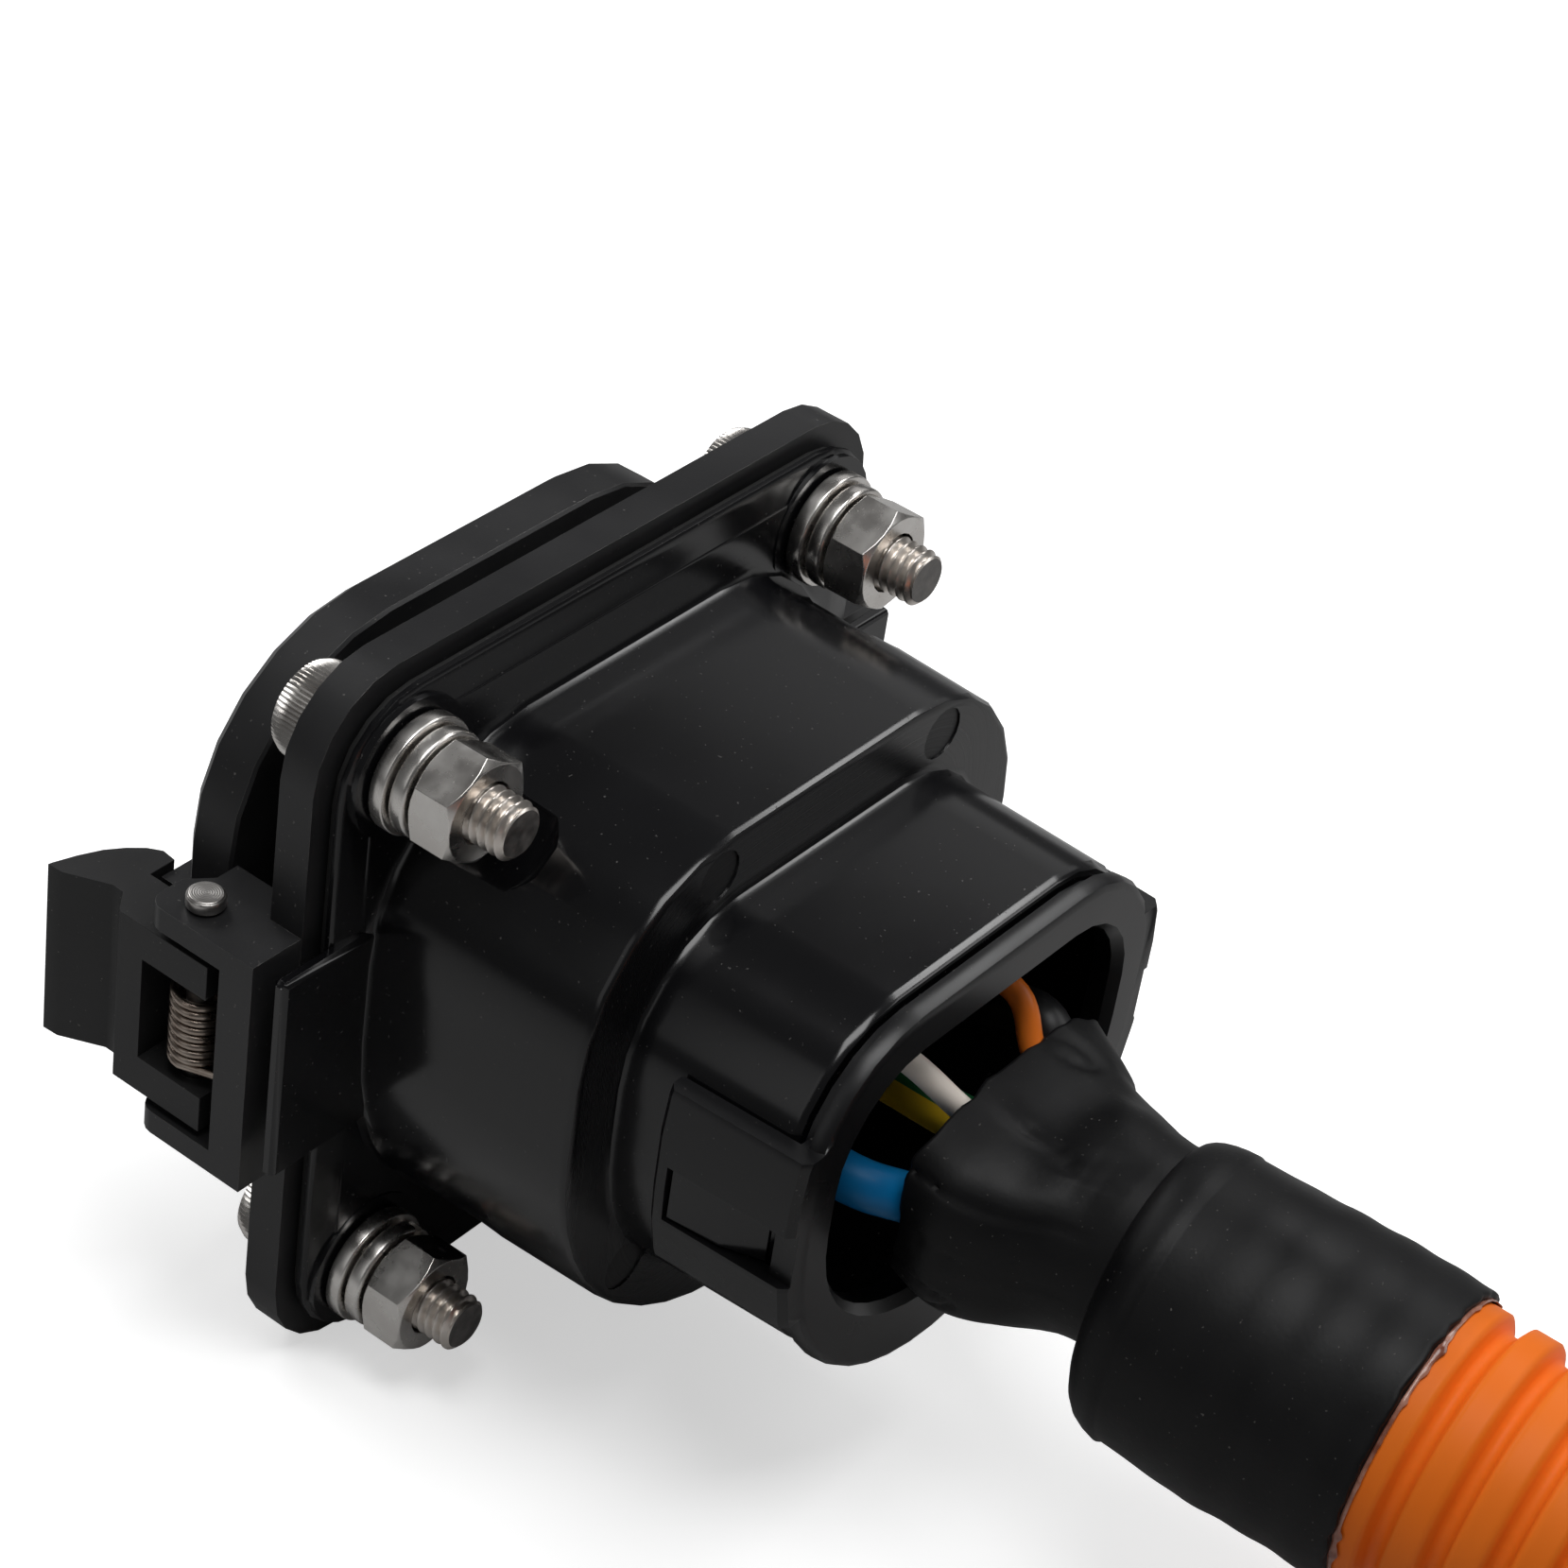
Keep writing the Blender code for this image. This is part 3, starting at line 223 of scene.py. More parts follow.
def makeMouldGroup():
    tree = bpy.data.node_groups.new("mouldMarks", "ShaderNodeTree")
    groupSocket(tree, "Line Scale", "NodeSocketFloat", 3000.0)
    groupSocket(tree, "Lines", "NodeSocketFloat", side="OUTPUT")
    groupSocket(tree, "Discs", "NodeSocketFloat", side="OUTPUT")
    nodes, links = tree.nodes, tree.links
    given = nodes.new("NodeGroupInput")
    out = nodes.new("NodeGroupOutput")
    place = nodes.new("ShaderNodeTexCoord")
    apart = nodes.new("ShaderNodeSeparateXYZ")
    links.new(place.outputs["Object"], apart.inputs[0])
    facing = nodes.new("ShaderNodeSeparateXYZ")
    links.new(place.outputs["Normal"], facing.inputs[0])
    rearward = reckon(tree, "GREATER_THAN", facing.outputs["Y"], mouldSet["rearward"])
    beyond = reckon(tree, "GREATER_THAN", apart.outputs["Y"], at(0, mouldSet["nearest"], 0).y)
    within = reckon(tree, "LESS_THAN", apart.outputs["Y"], at(0, mouldSet["farthest"], 0).y)
    rearward = reckon(tree, "MULTIPLY", rearward, reckon(tree, "MULTIPLY", beyond, within))
    x = reckon(tree, "SUBTRACT", apart.outputs["X"], inletOrigin.x)
    z = reckon(tree, "SUBTRACT", apart.outputs["Z"], inletOrigin.z)
    powers = [reckon(tree, "POWER", reckon(tree, "ABSOLUTE", value), mouldSet["square"]) for value in (x, z)]
    ring = reckon(tree, "POWER", reckon(tree, "ADD", *powers), 1 / mouldSet["square"])
    lines = nodes.new("ShaderNodeTexNoise")
    lines.noise_dimensions = "1D"
    lines.inputs["Detail"].default_value = mouldSet["lineDetail"]
    links.new(ring, lines.inputs["W"])
    links.new(given.outputs["Line Scale"], lines.inputs["Scale"])
    links.new(reckon(tree, "MULTIPLY", lines.outputs["Fac"], rearward), out.inputs["Lines"])
    discs = None
    for across, up in mouldSet["discs"]:
        aside = [squareOf(tree, x, across * mm), squareOf(tree, z, up * mm)]
        inside = reckon(tree, "LESS_THAN", reckon(tree, "ADD", *aside), (mouldSet["discRadius"] * mm) ** 2)
        discs = inside if discs is None else reckon(tree, "MAXIMUM", discs, inside)
    links.new(reckon(tree, "MULTIPLY", discs, rearward), out.inputs["Discs"])
    return tree


grainGroup = makeGrainGroup()
mouldGroup = makeMouldGroup()

# Finishes: colour, the colour it drifts to, roughness range, grain scales, bump, dust, mirror strength, and for
# turned ends the middle and pitch of the lathe rings
finishSet = {
    "anodised": {"color": (0.014, 0.014, 0.015), "drift": (0.026, 0.026, 0.027), "rough": (0.34, 0.46),
                 "fine": 3200, "broad": 45, "bump": 0.14, "specks": 0.5, "metallic": 0.1, "shine": 0.4},
    "anodisedEdge": {"color": (0.035, 0.035, 0.036), "drift": (0.13, 0.125, 0.12), "rough": (0.28, 0.4),
                     "fine": 1800, "broad": 500, "bump": 0.08, "specks": 0.8, "metallic": 0.4, "shine": 0.5},
    "glossBlack": {"color": (0.003, 0.003, 0.0035), "drift": (0.006, 0.006, 0.007), "rough": (0.13, 0.23),
                   "fine": 1500, "broad": 30, "bump": 0.012, "specks": 0.25, "metallic": 0.0, "shine": 0.5,
                   "mould": True},
    "satinBlack": {"color": (0.004, 0.004, 0.0045), "drift": (0.008, 0.008, 0.009), "rough": (0.26, 0.36),
                   "fine": 2600, "broad": 50, "bump": 0.1, "specks": 0.3, "metallic": 0.0, "shine": 0.4},
    "mattBlack": {"color": (0.010, 0.010, 0.0105), "drift": (0.018, 0.018, 0.0185), "rough": (0.4, 0.52),
                  "fine": 2600, "broad": 70, "bump": 0.2, "specks": 0.5, "metallic": 0.0, "shine": 0.35},
    "mattEdge": {"color": (0.03, 0.03, 0.031), "drift": (0.09, 0.088, 0.086), "rough": (0.36, 0.46),
                 "fine": 2600, "broad": 400, "bump": 0.2, "specks": 0.7, "metallic": 0.0, "shine": 0.4},
    "rubber": {"color": (0.008, 0.008, 0.008), "drift": (0.014, 0.014, 0.014), "rough": (0.6, 0.8),
               "fine": 1800, "broad": 80, "bump": 0.2, "specks": 0.3, "metallic": 0.0, "shine": 0.3},
    "heatShrink": {"color": (0.0035, 0.0035, 0.004), "drift": (0.0065, 0.0065, 0.007), "rough": (0.4, 0.54),
                   "fine": 1700, "broad": 110, "bump": 0.3, "specks": 0.35, "metallic": 0.0, "shine": 0.2},
    "stainless": {"color": (0.66, 0.63, 0.6), "drift": (0.8, 0.78, 0.75), "rough": (0.2, 0.34),
                  "fine": 1600, "broad": 260, "bump": 0.06, "specks": 0.2, "metallic": 1.0, "shine": 0.5},
    "threadSteel": {"color": (0.64, 0.59, 0.54), "drift": (0.78, 0.73, 0.68), "rough": (0.26, 0.38),
                    "fine": 2600, "broad": 400, "bump": 0.08, "specks": 0.2, "metallic": 1.0, "shine": 0.5},
    "cutEnd": {"color": (0.16, 0.155, 0.15), "drift": (0.26, 0.25, 0.24), "rough": (0.42, 0.6),
               "fine": 1900, "broad": 700, "bump": 0.7, "specks": 0.3, "metallic": 0.9, "shine": 0.5},
    "pinSteel": {"color": (0.5, 0.48, 0.46), "drift": (0.6, 0.58, 0.56), "rough": (0.26, 0.36),
                 "fine": 1600, "broad": 260, "bump": 0.25, "specks": 0.2, "metallic": 1.0, "shine": 0.5,
                 "turned": (42.9, -9.3, 0.22)},
    "springSteel": {"color": (0.30, 0.24, 0.2), "drift": (0.44, 0.38, 0.33), "rough": (0.24, 0.36),
                    "fine": 1600, "broad": 500, "bump": 0.06, "specks": 0.2, "metallic": 1.0, "shine": 0.5},
    "silver": {"color": (0.72, 0.71, 0.68), "drift": (0.82, 0.81, 0.78), "rough": (0.2, 0.32),
               "fine": 1600, "broad": 200, "bump": 0.03, "specks": 0.1, "metallic": 1.0, "shine": 0.5},
    "copper": {"color": (0.75, 0.33, 0.17), "drift": (0.85, 0.42, 0.24), "rough": (0.25, 0.4),
               "fine": 2600, "broad": 300, "bump": 0.3, "specks": 0.1, "metallic": 1.0, "shine": 0.5},
    "orangeConduit": {"color": (0.86, 0.168, 0.01), "drift": (0.92, 0.2, 0.018), "rough": (0.42, 0.52),
                      "fine": 900, "broad": 40, "bump": 0.05, "specks": 0.05, "metallic": 0.0, "shine": 0.15},
    "blueWire": {"color": (0.0, 0.15, 0.38), "drift": (0.0, 0.18, 0.44), "rough": (0.4, 0.5),
                 "fine": 1500, "broad": 120, "bump": 0.04, "specks": 0.1, "metallic": 0.0, "shine": 0.25},
    "blackWire": {"color": (0.008, 0.008, 0.009), "drift": (0.014, 0.014, 0.015), "rough": (0.36, 0.46),
                  "fine": 1500, "broad": 120, "bump": 0.04, "specks": 0.1, "metallic": 0.0, "shine": 0.4},
    "greenWire": {"color": (0.005, 0.09, 0.025), "drift": (0.01, 0.12, 0.035), "rough": (0.36, 0.46),
                  "fine": 1500, "broad": 120, "bump": 0.04, "specks": 0.1, "metallic": 0.0, "shine": 0.3},
    "yellowWire": {"color": (0.7, 0.42, 0.01), "drift": (0.78, 0.5, 0.02), "rough": (0.36, 0.46),
                   "fine": 1500, "broad": 120, "bump": 0.04, "specks": 0.1, "metallic": 0.0, "shine": 0.3},
    "whiteWire": {"color": (0.93, 0.84, 0.75), "drift": (0.98, 0.91, 0.83), "rough": (0.4, 0.5),
                  "fine": 1500, "broad": 120, "bump": 0.04, "specks": 0.1, "metallic": 0.0, "shine": 0.3},
    "orangeWire": {"color": (0.74, 0.16, 0.01), "drift": (0.82, 0.2, 0.02), "rough": (0.36, 0.46),
                   "fine": 1500, "broad": 120, "bump": 0.04, "specks": 0.1, "metallic": 0.0, "shine": 0.3},
    "hotMelt": {"color": (0.16, 0.04, 0.02), "drift": (0.5, 0.24, 0.17), "rough": (0.12, 0.25),
                "fine": 1500, "broad": 350, "bump": 0.2, "specks": 0.2, "metallic": 0.0, "shine": 0.6},
}


def addTurnedRings(tree, height, x, y, pitch):  # lathe rings round an upright axis
    place = tree.nodes.new("ShaderNodeTexCoord")
    apart = tree.nodes.new("ShaderNodeSeparateXYZ")
    tree.links.new(place.outputs["Object"], apart.inputs[0])
    middle = at(x, y, 0)
    aside = [squareOf(tree, apart.outputs["X"], middle.x), squareOf(tree, apart.outputs["Y"], middle.y)]
    radius = reckon(tree, "POWER", reckon(tree, "ADD", *aside), 0.5)
    wave = reckon(tree, "SINE", reckon(tree, "MULTIPLY", radius, 2 * math.pi / (pitch * mm)))
    return reckon(tree, "ADD", height, reckon(tree, "MULTIPLY", wave, 0.5))


def makeFinish(name, settings):
    material = bpy.data.materials.new(name)
    material.use_nodes = True
    tree = material.node_tree
    nodes, links = tree.nodes, tree.links
    shader = nodes["Principled BSDF"]
    shader.inputs["Metallic"].default_value = settings["metallic"]
    shader.inputs["Specular IOR Level"].default_value = settings["shine"]
    grain = nodes.new("ShaderNodeGroup")
    grain.node_tree = grainGroup
    grain.inputs["Fine Scale"].default_value = settings["fine"]
    grain.inputs["Broad Scale"].default_value = settings["broad"]
    grain.inputs["Speck Scale"].default_value = grainSet["speckScale"]
    grain.inputs["Speck Amount"].default_value = settings["specks"]
    drift = nodes.new("ShaderNodeMapRange")
    drift.inputs["From Min"].default_value = grainSet["driftFrom"]
    drift.inputs["From Max"].default_value = grainSet["driftFull"]
    links.new(grain.outputs["Broad"], drift.inputs["Value"])
    tint = nodes.new("ShaderNodeMix")
    tint.data_type = "RGBA"
    tint.inputs["A"].default_value = (*settings["color"], 1)
    tint.inputs["B"].default_value = (*settings["drift"], 1)
    links.new(drift.outputs["Result"], tint.inputs["Factor"])
    dusty = nodes.new("ShaderNodeMix")
    dusty.data_type = "RGBA"
    dusty.inputs["B"].default_value = (*grainSet["dust"], 1)
    links.new(tint.outputs["Result"], dusty.inputs["A"])
    links.new(grain.outputs["Specks"], dusty.inputs["Factor"])
    links.new(dusty.outputs["Result"], shader.inputs["Base Color"])
    polish = nodes.new("ShaderNodeMapRange")
    polish.inputs["From Min"].default_value = grainSet["roughFrom"]
    polish.inputs["From Max"].default_value = grainSet["roughFull"]
    polish.inputs["To Min"].default_value, polish.inputs["To Max"].default_value = settings["rough"]
    links.new(grain.outputs["Broad"], polish.inputs["Value"])
    rough = reckon(tree, "ADD", polish.outputs["Result"], grain.outputs["Specks"])
    height = grain.outputs["Fine"]
    if settings.get("mould"):
        marks = nodes.new("ShaderNodeGroup")
        marks.node_tree = mouldGroup
        marks.inputs["Line Scale"].default_value = mouldSet["lineScale"]
        lines, discs = marks.outputs["Lines"], marks.outputs["Discs"]
        rough = reckon(tree, "ADD", rough, reckon(tree, "MULTIPLY", lines, mouldSet["lineRough"]))
        rough = reckon(tree, "ADD", rough, reckon(tree, "MULTIPLY", discs, mouldSet["discRough"]))
        deep = reckon(tree, "ADD", 1.0, reckon(tree, "MULTIPLY", discs, mouldSet["discHeight"]))
        height = reckon(tree, "MULTIPLY", height, deep)
        height = reckon(tree, "ADD", height, reckon(tree, "MULTIPLY", lines, mouldSet["lineHeight"]))
    if settings.get("turned"):
        height = addTurnedRings(tree, height, *settings["turned"])
    links.new(rough, shader.inputs["Roughness"])
    bump = nodes.new("ShaderNodeBump")
    bump.inputs["Strength"].default_value = settings["bump"]
    bump.inputs["Distance"].default_value = grainSet["depth"] * mm
    links.new(height, bump.inputs["Height"])
    links.new(bump.outputs["Normal"], shader.inputs["Normal"])
    return material


finishes = {name: makeFinish(name, settings) for name, settings in finishSet.items()}
print("stage: finishes made")


def plainMesh(item):  # the evaluated shape as a plain mesh in world places; the object goes
    bpy.context.view_layer.update()
    graph = bpy.context.evaluated_depsgraph_get()
    mesh = bpy.data.meshes.new_from_object(item.evaluated_get(graph))
    mesh.transform(item.matrix_world)
    bpy.data.objects.remove(item, do_unlink=True)
    return mesh


def pieceName(kind, node):  # tail and green_yellow make tailGreenYellow
    return kind + node.title().replace("_", "")


def addPiece(name, mesh, finish, body, nodes=(), sharpAngle=32):
    names = [finish] if isinstance(finish, str) else finish
    if len(mesh.materials) != len(names):
        mesh.materials.clear()
        for entry in names:
            mesh.materials.append(finishes[entry])
    for face in mesh.polygons:
        face.use_smooth = True
    mesh.set_sharp_from_angle(angle=math.radians(sharpAngle))
    piece = addToScene(name, mesh)
    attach(piece, body)
    if nodes:
        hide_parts(*nodes)
    return piece


def turnFacesOut(mesh, joined=0.0):  # joins points that lie within a distance first, where one is given
    work = bmesh.new()
    work.from_mesh(mesh)
    if joined:
        bmesh.ops.remove_doubles(work, verts=work.verts, dist=joined * mm)
    bmesh.ops.recalc_face_normals(work, faces=work.faces)
    work.to_mesh(mesh)
    work.free()


mergeSet = {"joined": 0.008, "flatWithin": 0.8}  # millimetres, degrees


def mergedCopy(node):  # a CAD node's shape with its loose triangles joined and flat areas made whole
    work = bmesh.new()
    work.from_mesh(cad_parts[node].data)
    bmesh.ops.remove_doubles(work, verts=work.verts, dist=mergeSet["joined"] * mm)
    bmesh.ops.dissolve_limit(work, angle_limit=math.radians(mergeSet["flatWithin"]), verts=work.verts,
                             edges=work.edges)
    mesh = bpy.data.meshes.new(node + "Shape")
    work.to_mesh(mesh)
    work.free()
    return mesh


def dressNode(node, name, finish, body="inlet", bevel=0.25, segments=2, angle=38, edge=None):
    mesh = mergedCopy(node)
    mesh.materials.clear()
    mesh.materials.append(finishes[finish])
    if edge:
        mesh.materials.append(finishes[edge])
    for face in mesh.polygons:
        face.use_smooth = True
    item = addToScene(name, mesh)
    softened = item.modifiers.new("softEdges", "BEVEL")
    softened.width = bevel * mm
    softened.segments = segments
    softened.limit_method = "ANGLE"
    softened.angle_limit = math.radians(angle)
    softened.material = 1 if edge else 0
    flats = item.modifiers.new("flatFaces", "WEIGHTED_NORMAL")  # broad faces stay flat beside their soft edges
    flats.weight = 90
    return addPiece(name, plainMesh(item), [finish, edge] if edge else finish, body, (node,))


def tubeRings(points, radius, sides, sizes=None):  # rings square to a route, without twist
    rings = []
    ahead = (points[1] - points[0]).normalized()
    side = ahead.orthogonal().normalized()
    for index, point in enumerate(points):
        before, after = points[max(index - 1, 0)], points[min(index + 1, len(points) - 1)]
        onward = (after - before).normalized()
        side = ahead.rotation_difference(onward) @ side
        ahead = onward
        across = ahead.cross(side)
        reach = radius * (sizes[index] if sizes else 1)
        angles = [2 * math.pi * step / sides for step in range(sides)]
        rings.append([point + (side * math.cos(angle) + across * math.sin(angle)) * reach for angle in angles])
    return rings


def curveBetween(before, start, end, after, t):  # a smooth curve from start to end, for numbers and for points
    return 0.5 * (2 * start + (end - before) * t + (2 * before - 5 * start + 4 * end - after) * t * t
                  + (3 * start - before - 3 * end + after) * t ** 3)


def smoothRoute(points, spacing):  # even places on a smooth curve through the given ones
    nodes = [Vector(point) for point in points]
    nodes = [nodes[0] * 2 - nodes[1]] + nodes + [nodes[-1] * 2 - nodes[-2]]
    fine = []
    for index in range(1, len(nodes) - 2):
        fine += [curveBetween(*nodes[index - 1:index + 3], step / 24) for step in range(24)]
    fine.append(nodes[-2])
    total = sum((second - first).length for first, second in zip(fine, fine[1:]))
    count = max(2, round(total / spacing))
    route = [fine[0]]
    walked = 0.0
    for first, second in zip(fine, fine[1:]):
        step = (second - first).length
        while len(route) < count and walked + step >= total * len(route) / count:
            share = (total * len(route) / count - walked) / step
            route.append(first.lerp(second, share))
        walked += step
    route.append(fine[-1])
    return route


def loftMesh(name, rings, closed=False):
    work = bmesh.new()
    made = [[work.verts.new(point) for point in ring] for ring in rings]
    count = len(rings[0])
    for first, second in zip(made, made[1:] + (made[:1] if closed else [])):
        for index in range(count):
            after = (index + 1) % count
            work.faces.new((first[index], first[after], second[after], second[index]))
    if not closed:
        work.faces.new(made[0])
        work.faces.new(made[-1])
    bmesh.ops.recalc_face_normals(work, faces=work.faces)
    mesh = bpy.data.meshes.new(name)
    work.to_mesh(mesh)
    work.free()
    return mesh


def joinedMesh(name, parts, finishNames):  # several closed shells as one mesh, each with its place in the finishes
    work = bmesh.new()
    for mesh, number in parts:
        for face in mesh.polygons:
            if number is not None:
                face.material_index = number
        work.from_mesh(mesh)
        bpy.data.meshes.remove(mesh)
    whole = bpy.data.meshes.new(name)
    work.to_mesh(whole)
    work.free()
    for entry in finishNames:
        whole.materials.append(finishes[entry])
    return whole


def tubePiece(name, points, radius, sides, finishNames, node, sizes=None, pick=None):
    mesh = loftMesh(name, tubeRings(points, radius, sides, sizes))
    for entry in finishNames:
        mesh.materials.append(finishes[entry])
    if pick:
        for index, face in enumerate(mesh.polygons):
            face.material_index = pick(index // sides, index % sides)
    return addPiece(name, mesh, finishNames, "inlet", (node,), sharpAngle=50)


def readBetween(rows, share):  # a smooth reading of a list of rows at a share of its length
    place = share * (len(rows) - 1)
    index = min(int(place), len(rows) - 2)
    four = [rows[max(index - 1, 0)], rows[index], rows[index + 1], rows[min(index + 2, len(rows) - 1)]]
    return [curveBetween(*values, place - index) for values in zip(*four)]


# The free lead
leadSet = {
    "route": [
        (0.6, 74.0, -5.3), (-1.0, 99.3, -6.5), (-2.7, 126.0, -8.2), (-4.2, 154.0, -11.0),
        (-5.0, 183.0, -15.1), (-4.8, 213.0, -20.0), (-3.0, 243.0, -23.8), (1.0, 274.0, -25.7),
        (7.5, 305.0, -25.8), (17.0, 336.0, -25.8), (29.5, 366.0, -25.8), (45.0, 395.0, -25.8),
        (63.0, 423.0, -25.8), (83.0, 450.0, -25.8),
    ],
    "exit": (-1.0, 99.3, -6.5), "routeStep": 6, "radius": 14.13, "valley": 12.5, "pitch": 5.2, "crestFrom": 0.1,
    "step": 0.34, "sides": 64,
}


def makeRibTree():  # turns a route into a corrugated tube: rounded ribs at an even pitch
    tree = bpy.data.node_groups.new("corrugatedTube", "GeometryNodeTree")
    groupSocket(tree, "Geometry", "NodeSocketGeometry")
    groupSocket(tree, "Rib Radius", "NodeSocketFloat", 0.014)
    groupSocket(tree, "Valley Radius", "NodeSocketFloat", 0.0127)
    groupSocket(tree, "Rib Pitch", "NodeSocketFloat", 0.0044)
    groupSocket(tree, "Step", "NodeSocketFloat", 0.0005)
    groupSocket(tree, "Sides", "NodeSocketInt", 48)
    groupSocket(tree, "Finish", "NodeSocketMaterial")
    groupSocket(tree, "Geometry", "NodeSocketGeometry", side="OUTPUT")
    nodes, links = tree.nodes, tree.links
    given = nodes.new("NodeGroupInput")
    out = nodes.new("NodeGroupOutput")
    resample = nodes.new("GeometryNodeResampleCurve")
    resample.mode = "LENGTH"
    links.new(given.outputs["Geometry"], resample.inputs["Curve"])
    links.new(given.outputs["Step"], resample.inputs["Length"])
    along = nodes.new("GeometryNodeSplineParameter")
    turns = reckon(tree, "DIVIDE", along.outputs["Length"], given.outputs["Rib Pitch"])
    wave = reckon(tree, "COSINE", reckon(tree, "MULTIPLY", turns, 2 * math.pi))
    crest = nodes.new("ShaderNodeMapRange")  # broad crests and narrow valleys
    crest.interpolation_type = "SMOOTHSTEP"
    crest.inputs["From Min"].default_value = -1.0
    crest.inputs["From Max"].default_value = leadSet["crestFrom"]
    links.new(wave, crest.inputs["Value"])
    links.new(given.outputs["Valley Radius"], crest.inputs["To Min"])
    links.new(given.outputs["Rib Radius"], crest.inputs["To Max"])
    circle = nodes.new("GeometryNodeCurvePrimitiveCircle")
    circle.inputs["Radius"].default_value = 1.0
    links.new(given.outputs["Sides"], circle.inputs["Resolution"])
    sweep = nodes.new("GeometryNodeCurveToMesh")
    sweep.inputs["Fill Caps"].default_value = True
    links.new(resample.outputs["Curve"], sweep.inputs["Curve"])
    links.new(crest.outputs["Result"], sweep.inputs["Scale"])
    links.new(circle.outputs["Curve"], sweep.inputs["Profile Curve"])
    real = nodes.new("GeometryNodeRealizeInstances")
    links.new(sweep.outputs["Mesh"], real.inputs["Geometry"])
    paint = nodes.new("GeometryNodeSetMaterial")
    links.new(real.outputs["Geometry"], paint.inputs["Geometry"])
    links.new(given.outputs["Finish"], paint.inputs["Material"])
    links.new(paint.outputs["Geometry"], out.inputs["Geometry"])
    return tree


def setInputs(modifier, values):  # by the sockets' identifiers
    for entry in modifier.node_group.interface.items_tree:
        if entry.item_type == "SOCKET" and entry.in_out == "INPUT" and entry.name in values:
            modifier[entry.identifier] = values[entry.name]


def makeConduit():
    route = smoothRoute([at(*point) for point in leadSet["route"]], leadSet["routeStep"] * mm)
    curve = bpy.data.curves.new("conduitRoute", "CURVE")
    curve.dimensions = "3D"
    spline = curve.splines.new("POLY")
    spline.points.add(len(route) - 1)
    for point, place in zip(spline.points, route):
        point.co = (*place, 1)
    item = addToScene("conduitRoute", curve)
    modifier = item.modifiers.new("ribs", "NODES")
    modifier.node_group = makeRibTree()
    setInputs(modifier, {
        "Rib Radius": leadSet["radius"] * mm, "Valley Radius": leadSet["valley"] * mm,
        "Rib Pitch": leadSet["pitch"] * mm, "Step": leadSet["step"] * mm, "Sides": leadSet["sides"],
        "Finish": finishes["orangeConduit"],
    })
    mesh = plainMesh(item)
    bpy.data.curves.remove(curve)
    turnFacesOut(mesh, joined=0.002)
    conduit = addPiece("conduitTube", mesh, "orangeConduit", "inlet", ("conduit",), sharpAngle=60)
    return conduit, route


# Wire tails past the end of the conduit, with bare ends
tailSet = {
    "blue": (2.4, 90, "blueWire"), "black": (2.4, 210, "blackWire"), "green_yellow": (2.4, 330, "greenWire"),
    "white": (1.1, 30, "whiteWire"), "orange": (1.1, 150, "orangeWire"),
}  # radius, place round the middle in degrees, finish
tailShape = {"circle": 5.2, "spread": 0.5, "boot": 46.0, "gap": 0.3, "length": 34.0, "bare": 0.8, "bareSize": 0.72,
             "sides": 20, "rings": 30}
stripeSides = (0, 1, 2, 3, 4, 10, 11, 12, 13, 14)  # sides of the green tube that are yellow


def makeTails():
    sides = tailShape["sides"]
    # long steps, so that the last one gives the direction of the whole end
    route = smoothRoute([at(*point) for point in leadSet["route"]], 2.1 * leadSet["radius"] * mm)
    along = (route[-1] - route[-2]).normalized()
    place = standAt(route[-1] + along * tailShape["gap"] * mm, along)
    made = []
    for name, (radius, turn, finish) in tailSet.items():
        angle = math.radians(turn)
        points = []
        sizes = []
        for step in range(tailShape["rings"] + 1):
            share = step / tailShape["rings"]
            spread = tailShape["circle"] * (1 + tailShape["spread"] * share * share)
            depth = tailShape["boot"] + tailShape["gap"] + tailShape["length"] * share
            points.append(place @ (Vector((spread * math.cos(angle), spread * math.sin(angle), depth)) * mm))
            sizes.append(1.0 if share < tailShape["bare"] else tailShape["bareSize"])
        bareFrom = math.ceil(tailShape["bare"] * tailShape["rings"]) - 1
        stripe = name == "green_yellow"

        def pick(ring, side):
            if ring >= bareFrom:
                return 1
            return 2 if stripe and side in stripeSides else 0

        made.append(tubePiece(pieceName("tail", name), points, radius * mm, sides,
                              [finish, "copper", "yellowWire"], "tail_" + name,
                              sizes, pick))
    return made


def makeLead():
    conduit, route = makeConduit()
    onLead = [dressNode("end_boot", "endBoot", "heatShrink", bevel=0.4)] + makeTails()
    length = sum((second - first).length for first, second in zip(route, route[1:]))
    [tuple(point) for point in route]
    print("stage: lead made, length", round(length, 4))


# Wires from the contacts' barrels through the rear window into the boot
wireSet = {
    "blue": {"from": (14.6, -1.0), "radius": 2.4, "bend": (13.6, -1.4), "mouth": (9.0, -4.0), "pocket": (4.0, -7.3)},
    "black": {"from": (-14.6, -1.0), "radius": 2.4, "bend": (-14.0, 2.6), "mouth": (-12.8, -0.4),
              "pocket": (-9.2, -4.6)},
    "green_yellow": {"from": (0.0, -1.0), "radius": 2.4, "bend": (-0.3, -1.2), "mouth": (-1.6, -2.2),
                     "pocket": (-2.6, -5.2)},
    "white": {"from": (7.2, 10.2), "radius": 1.25, "bend": (6.9, 8.6), "mouth": (3.3, 3.4), "pocket": (0.2, -0.6)},
    "orange": {"from": (-7.2, 10.2), "radius": 1.25, "bend": (-8.9, 8.6), "mouth": (-7.6, 3.8), "pocket": (-7.2, 0.2)},
}
wireDepths = {"barrelEnd": 34.4, "straight": (-3.7, -1.5, 0.5, 2.0), "bend": 46.0, "mouth": 50.4, "pocket": 57.8}
wireStep = 0.8


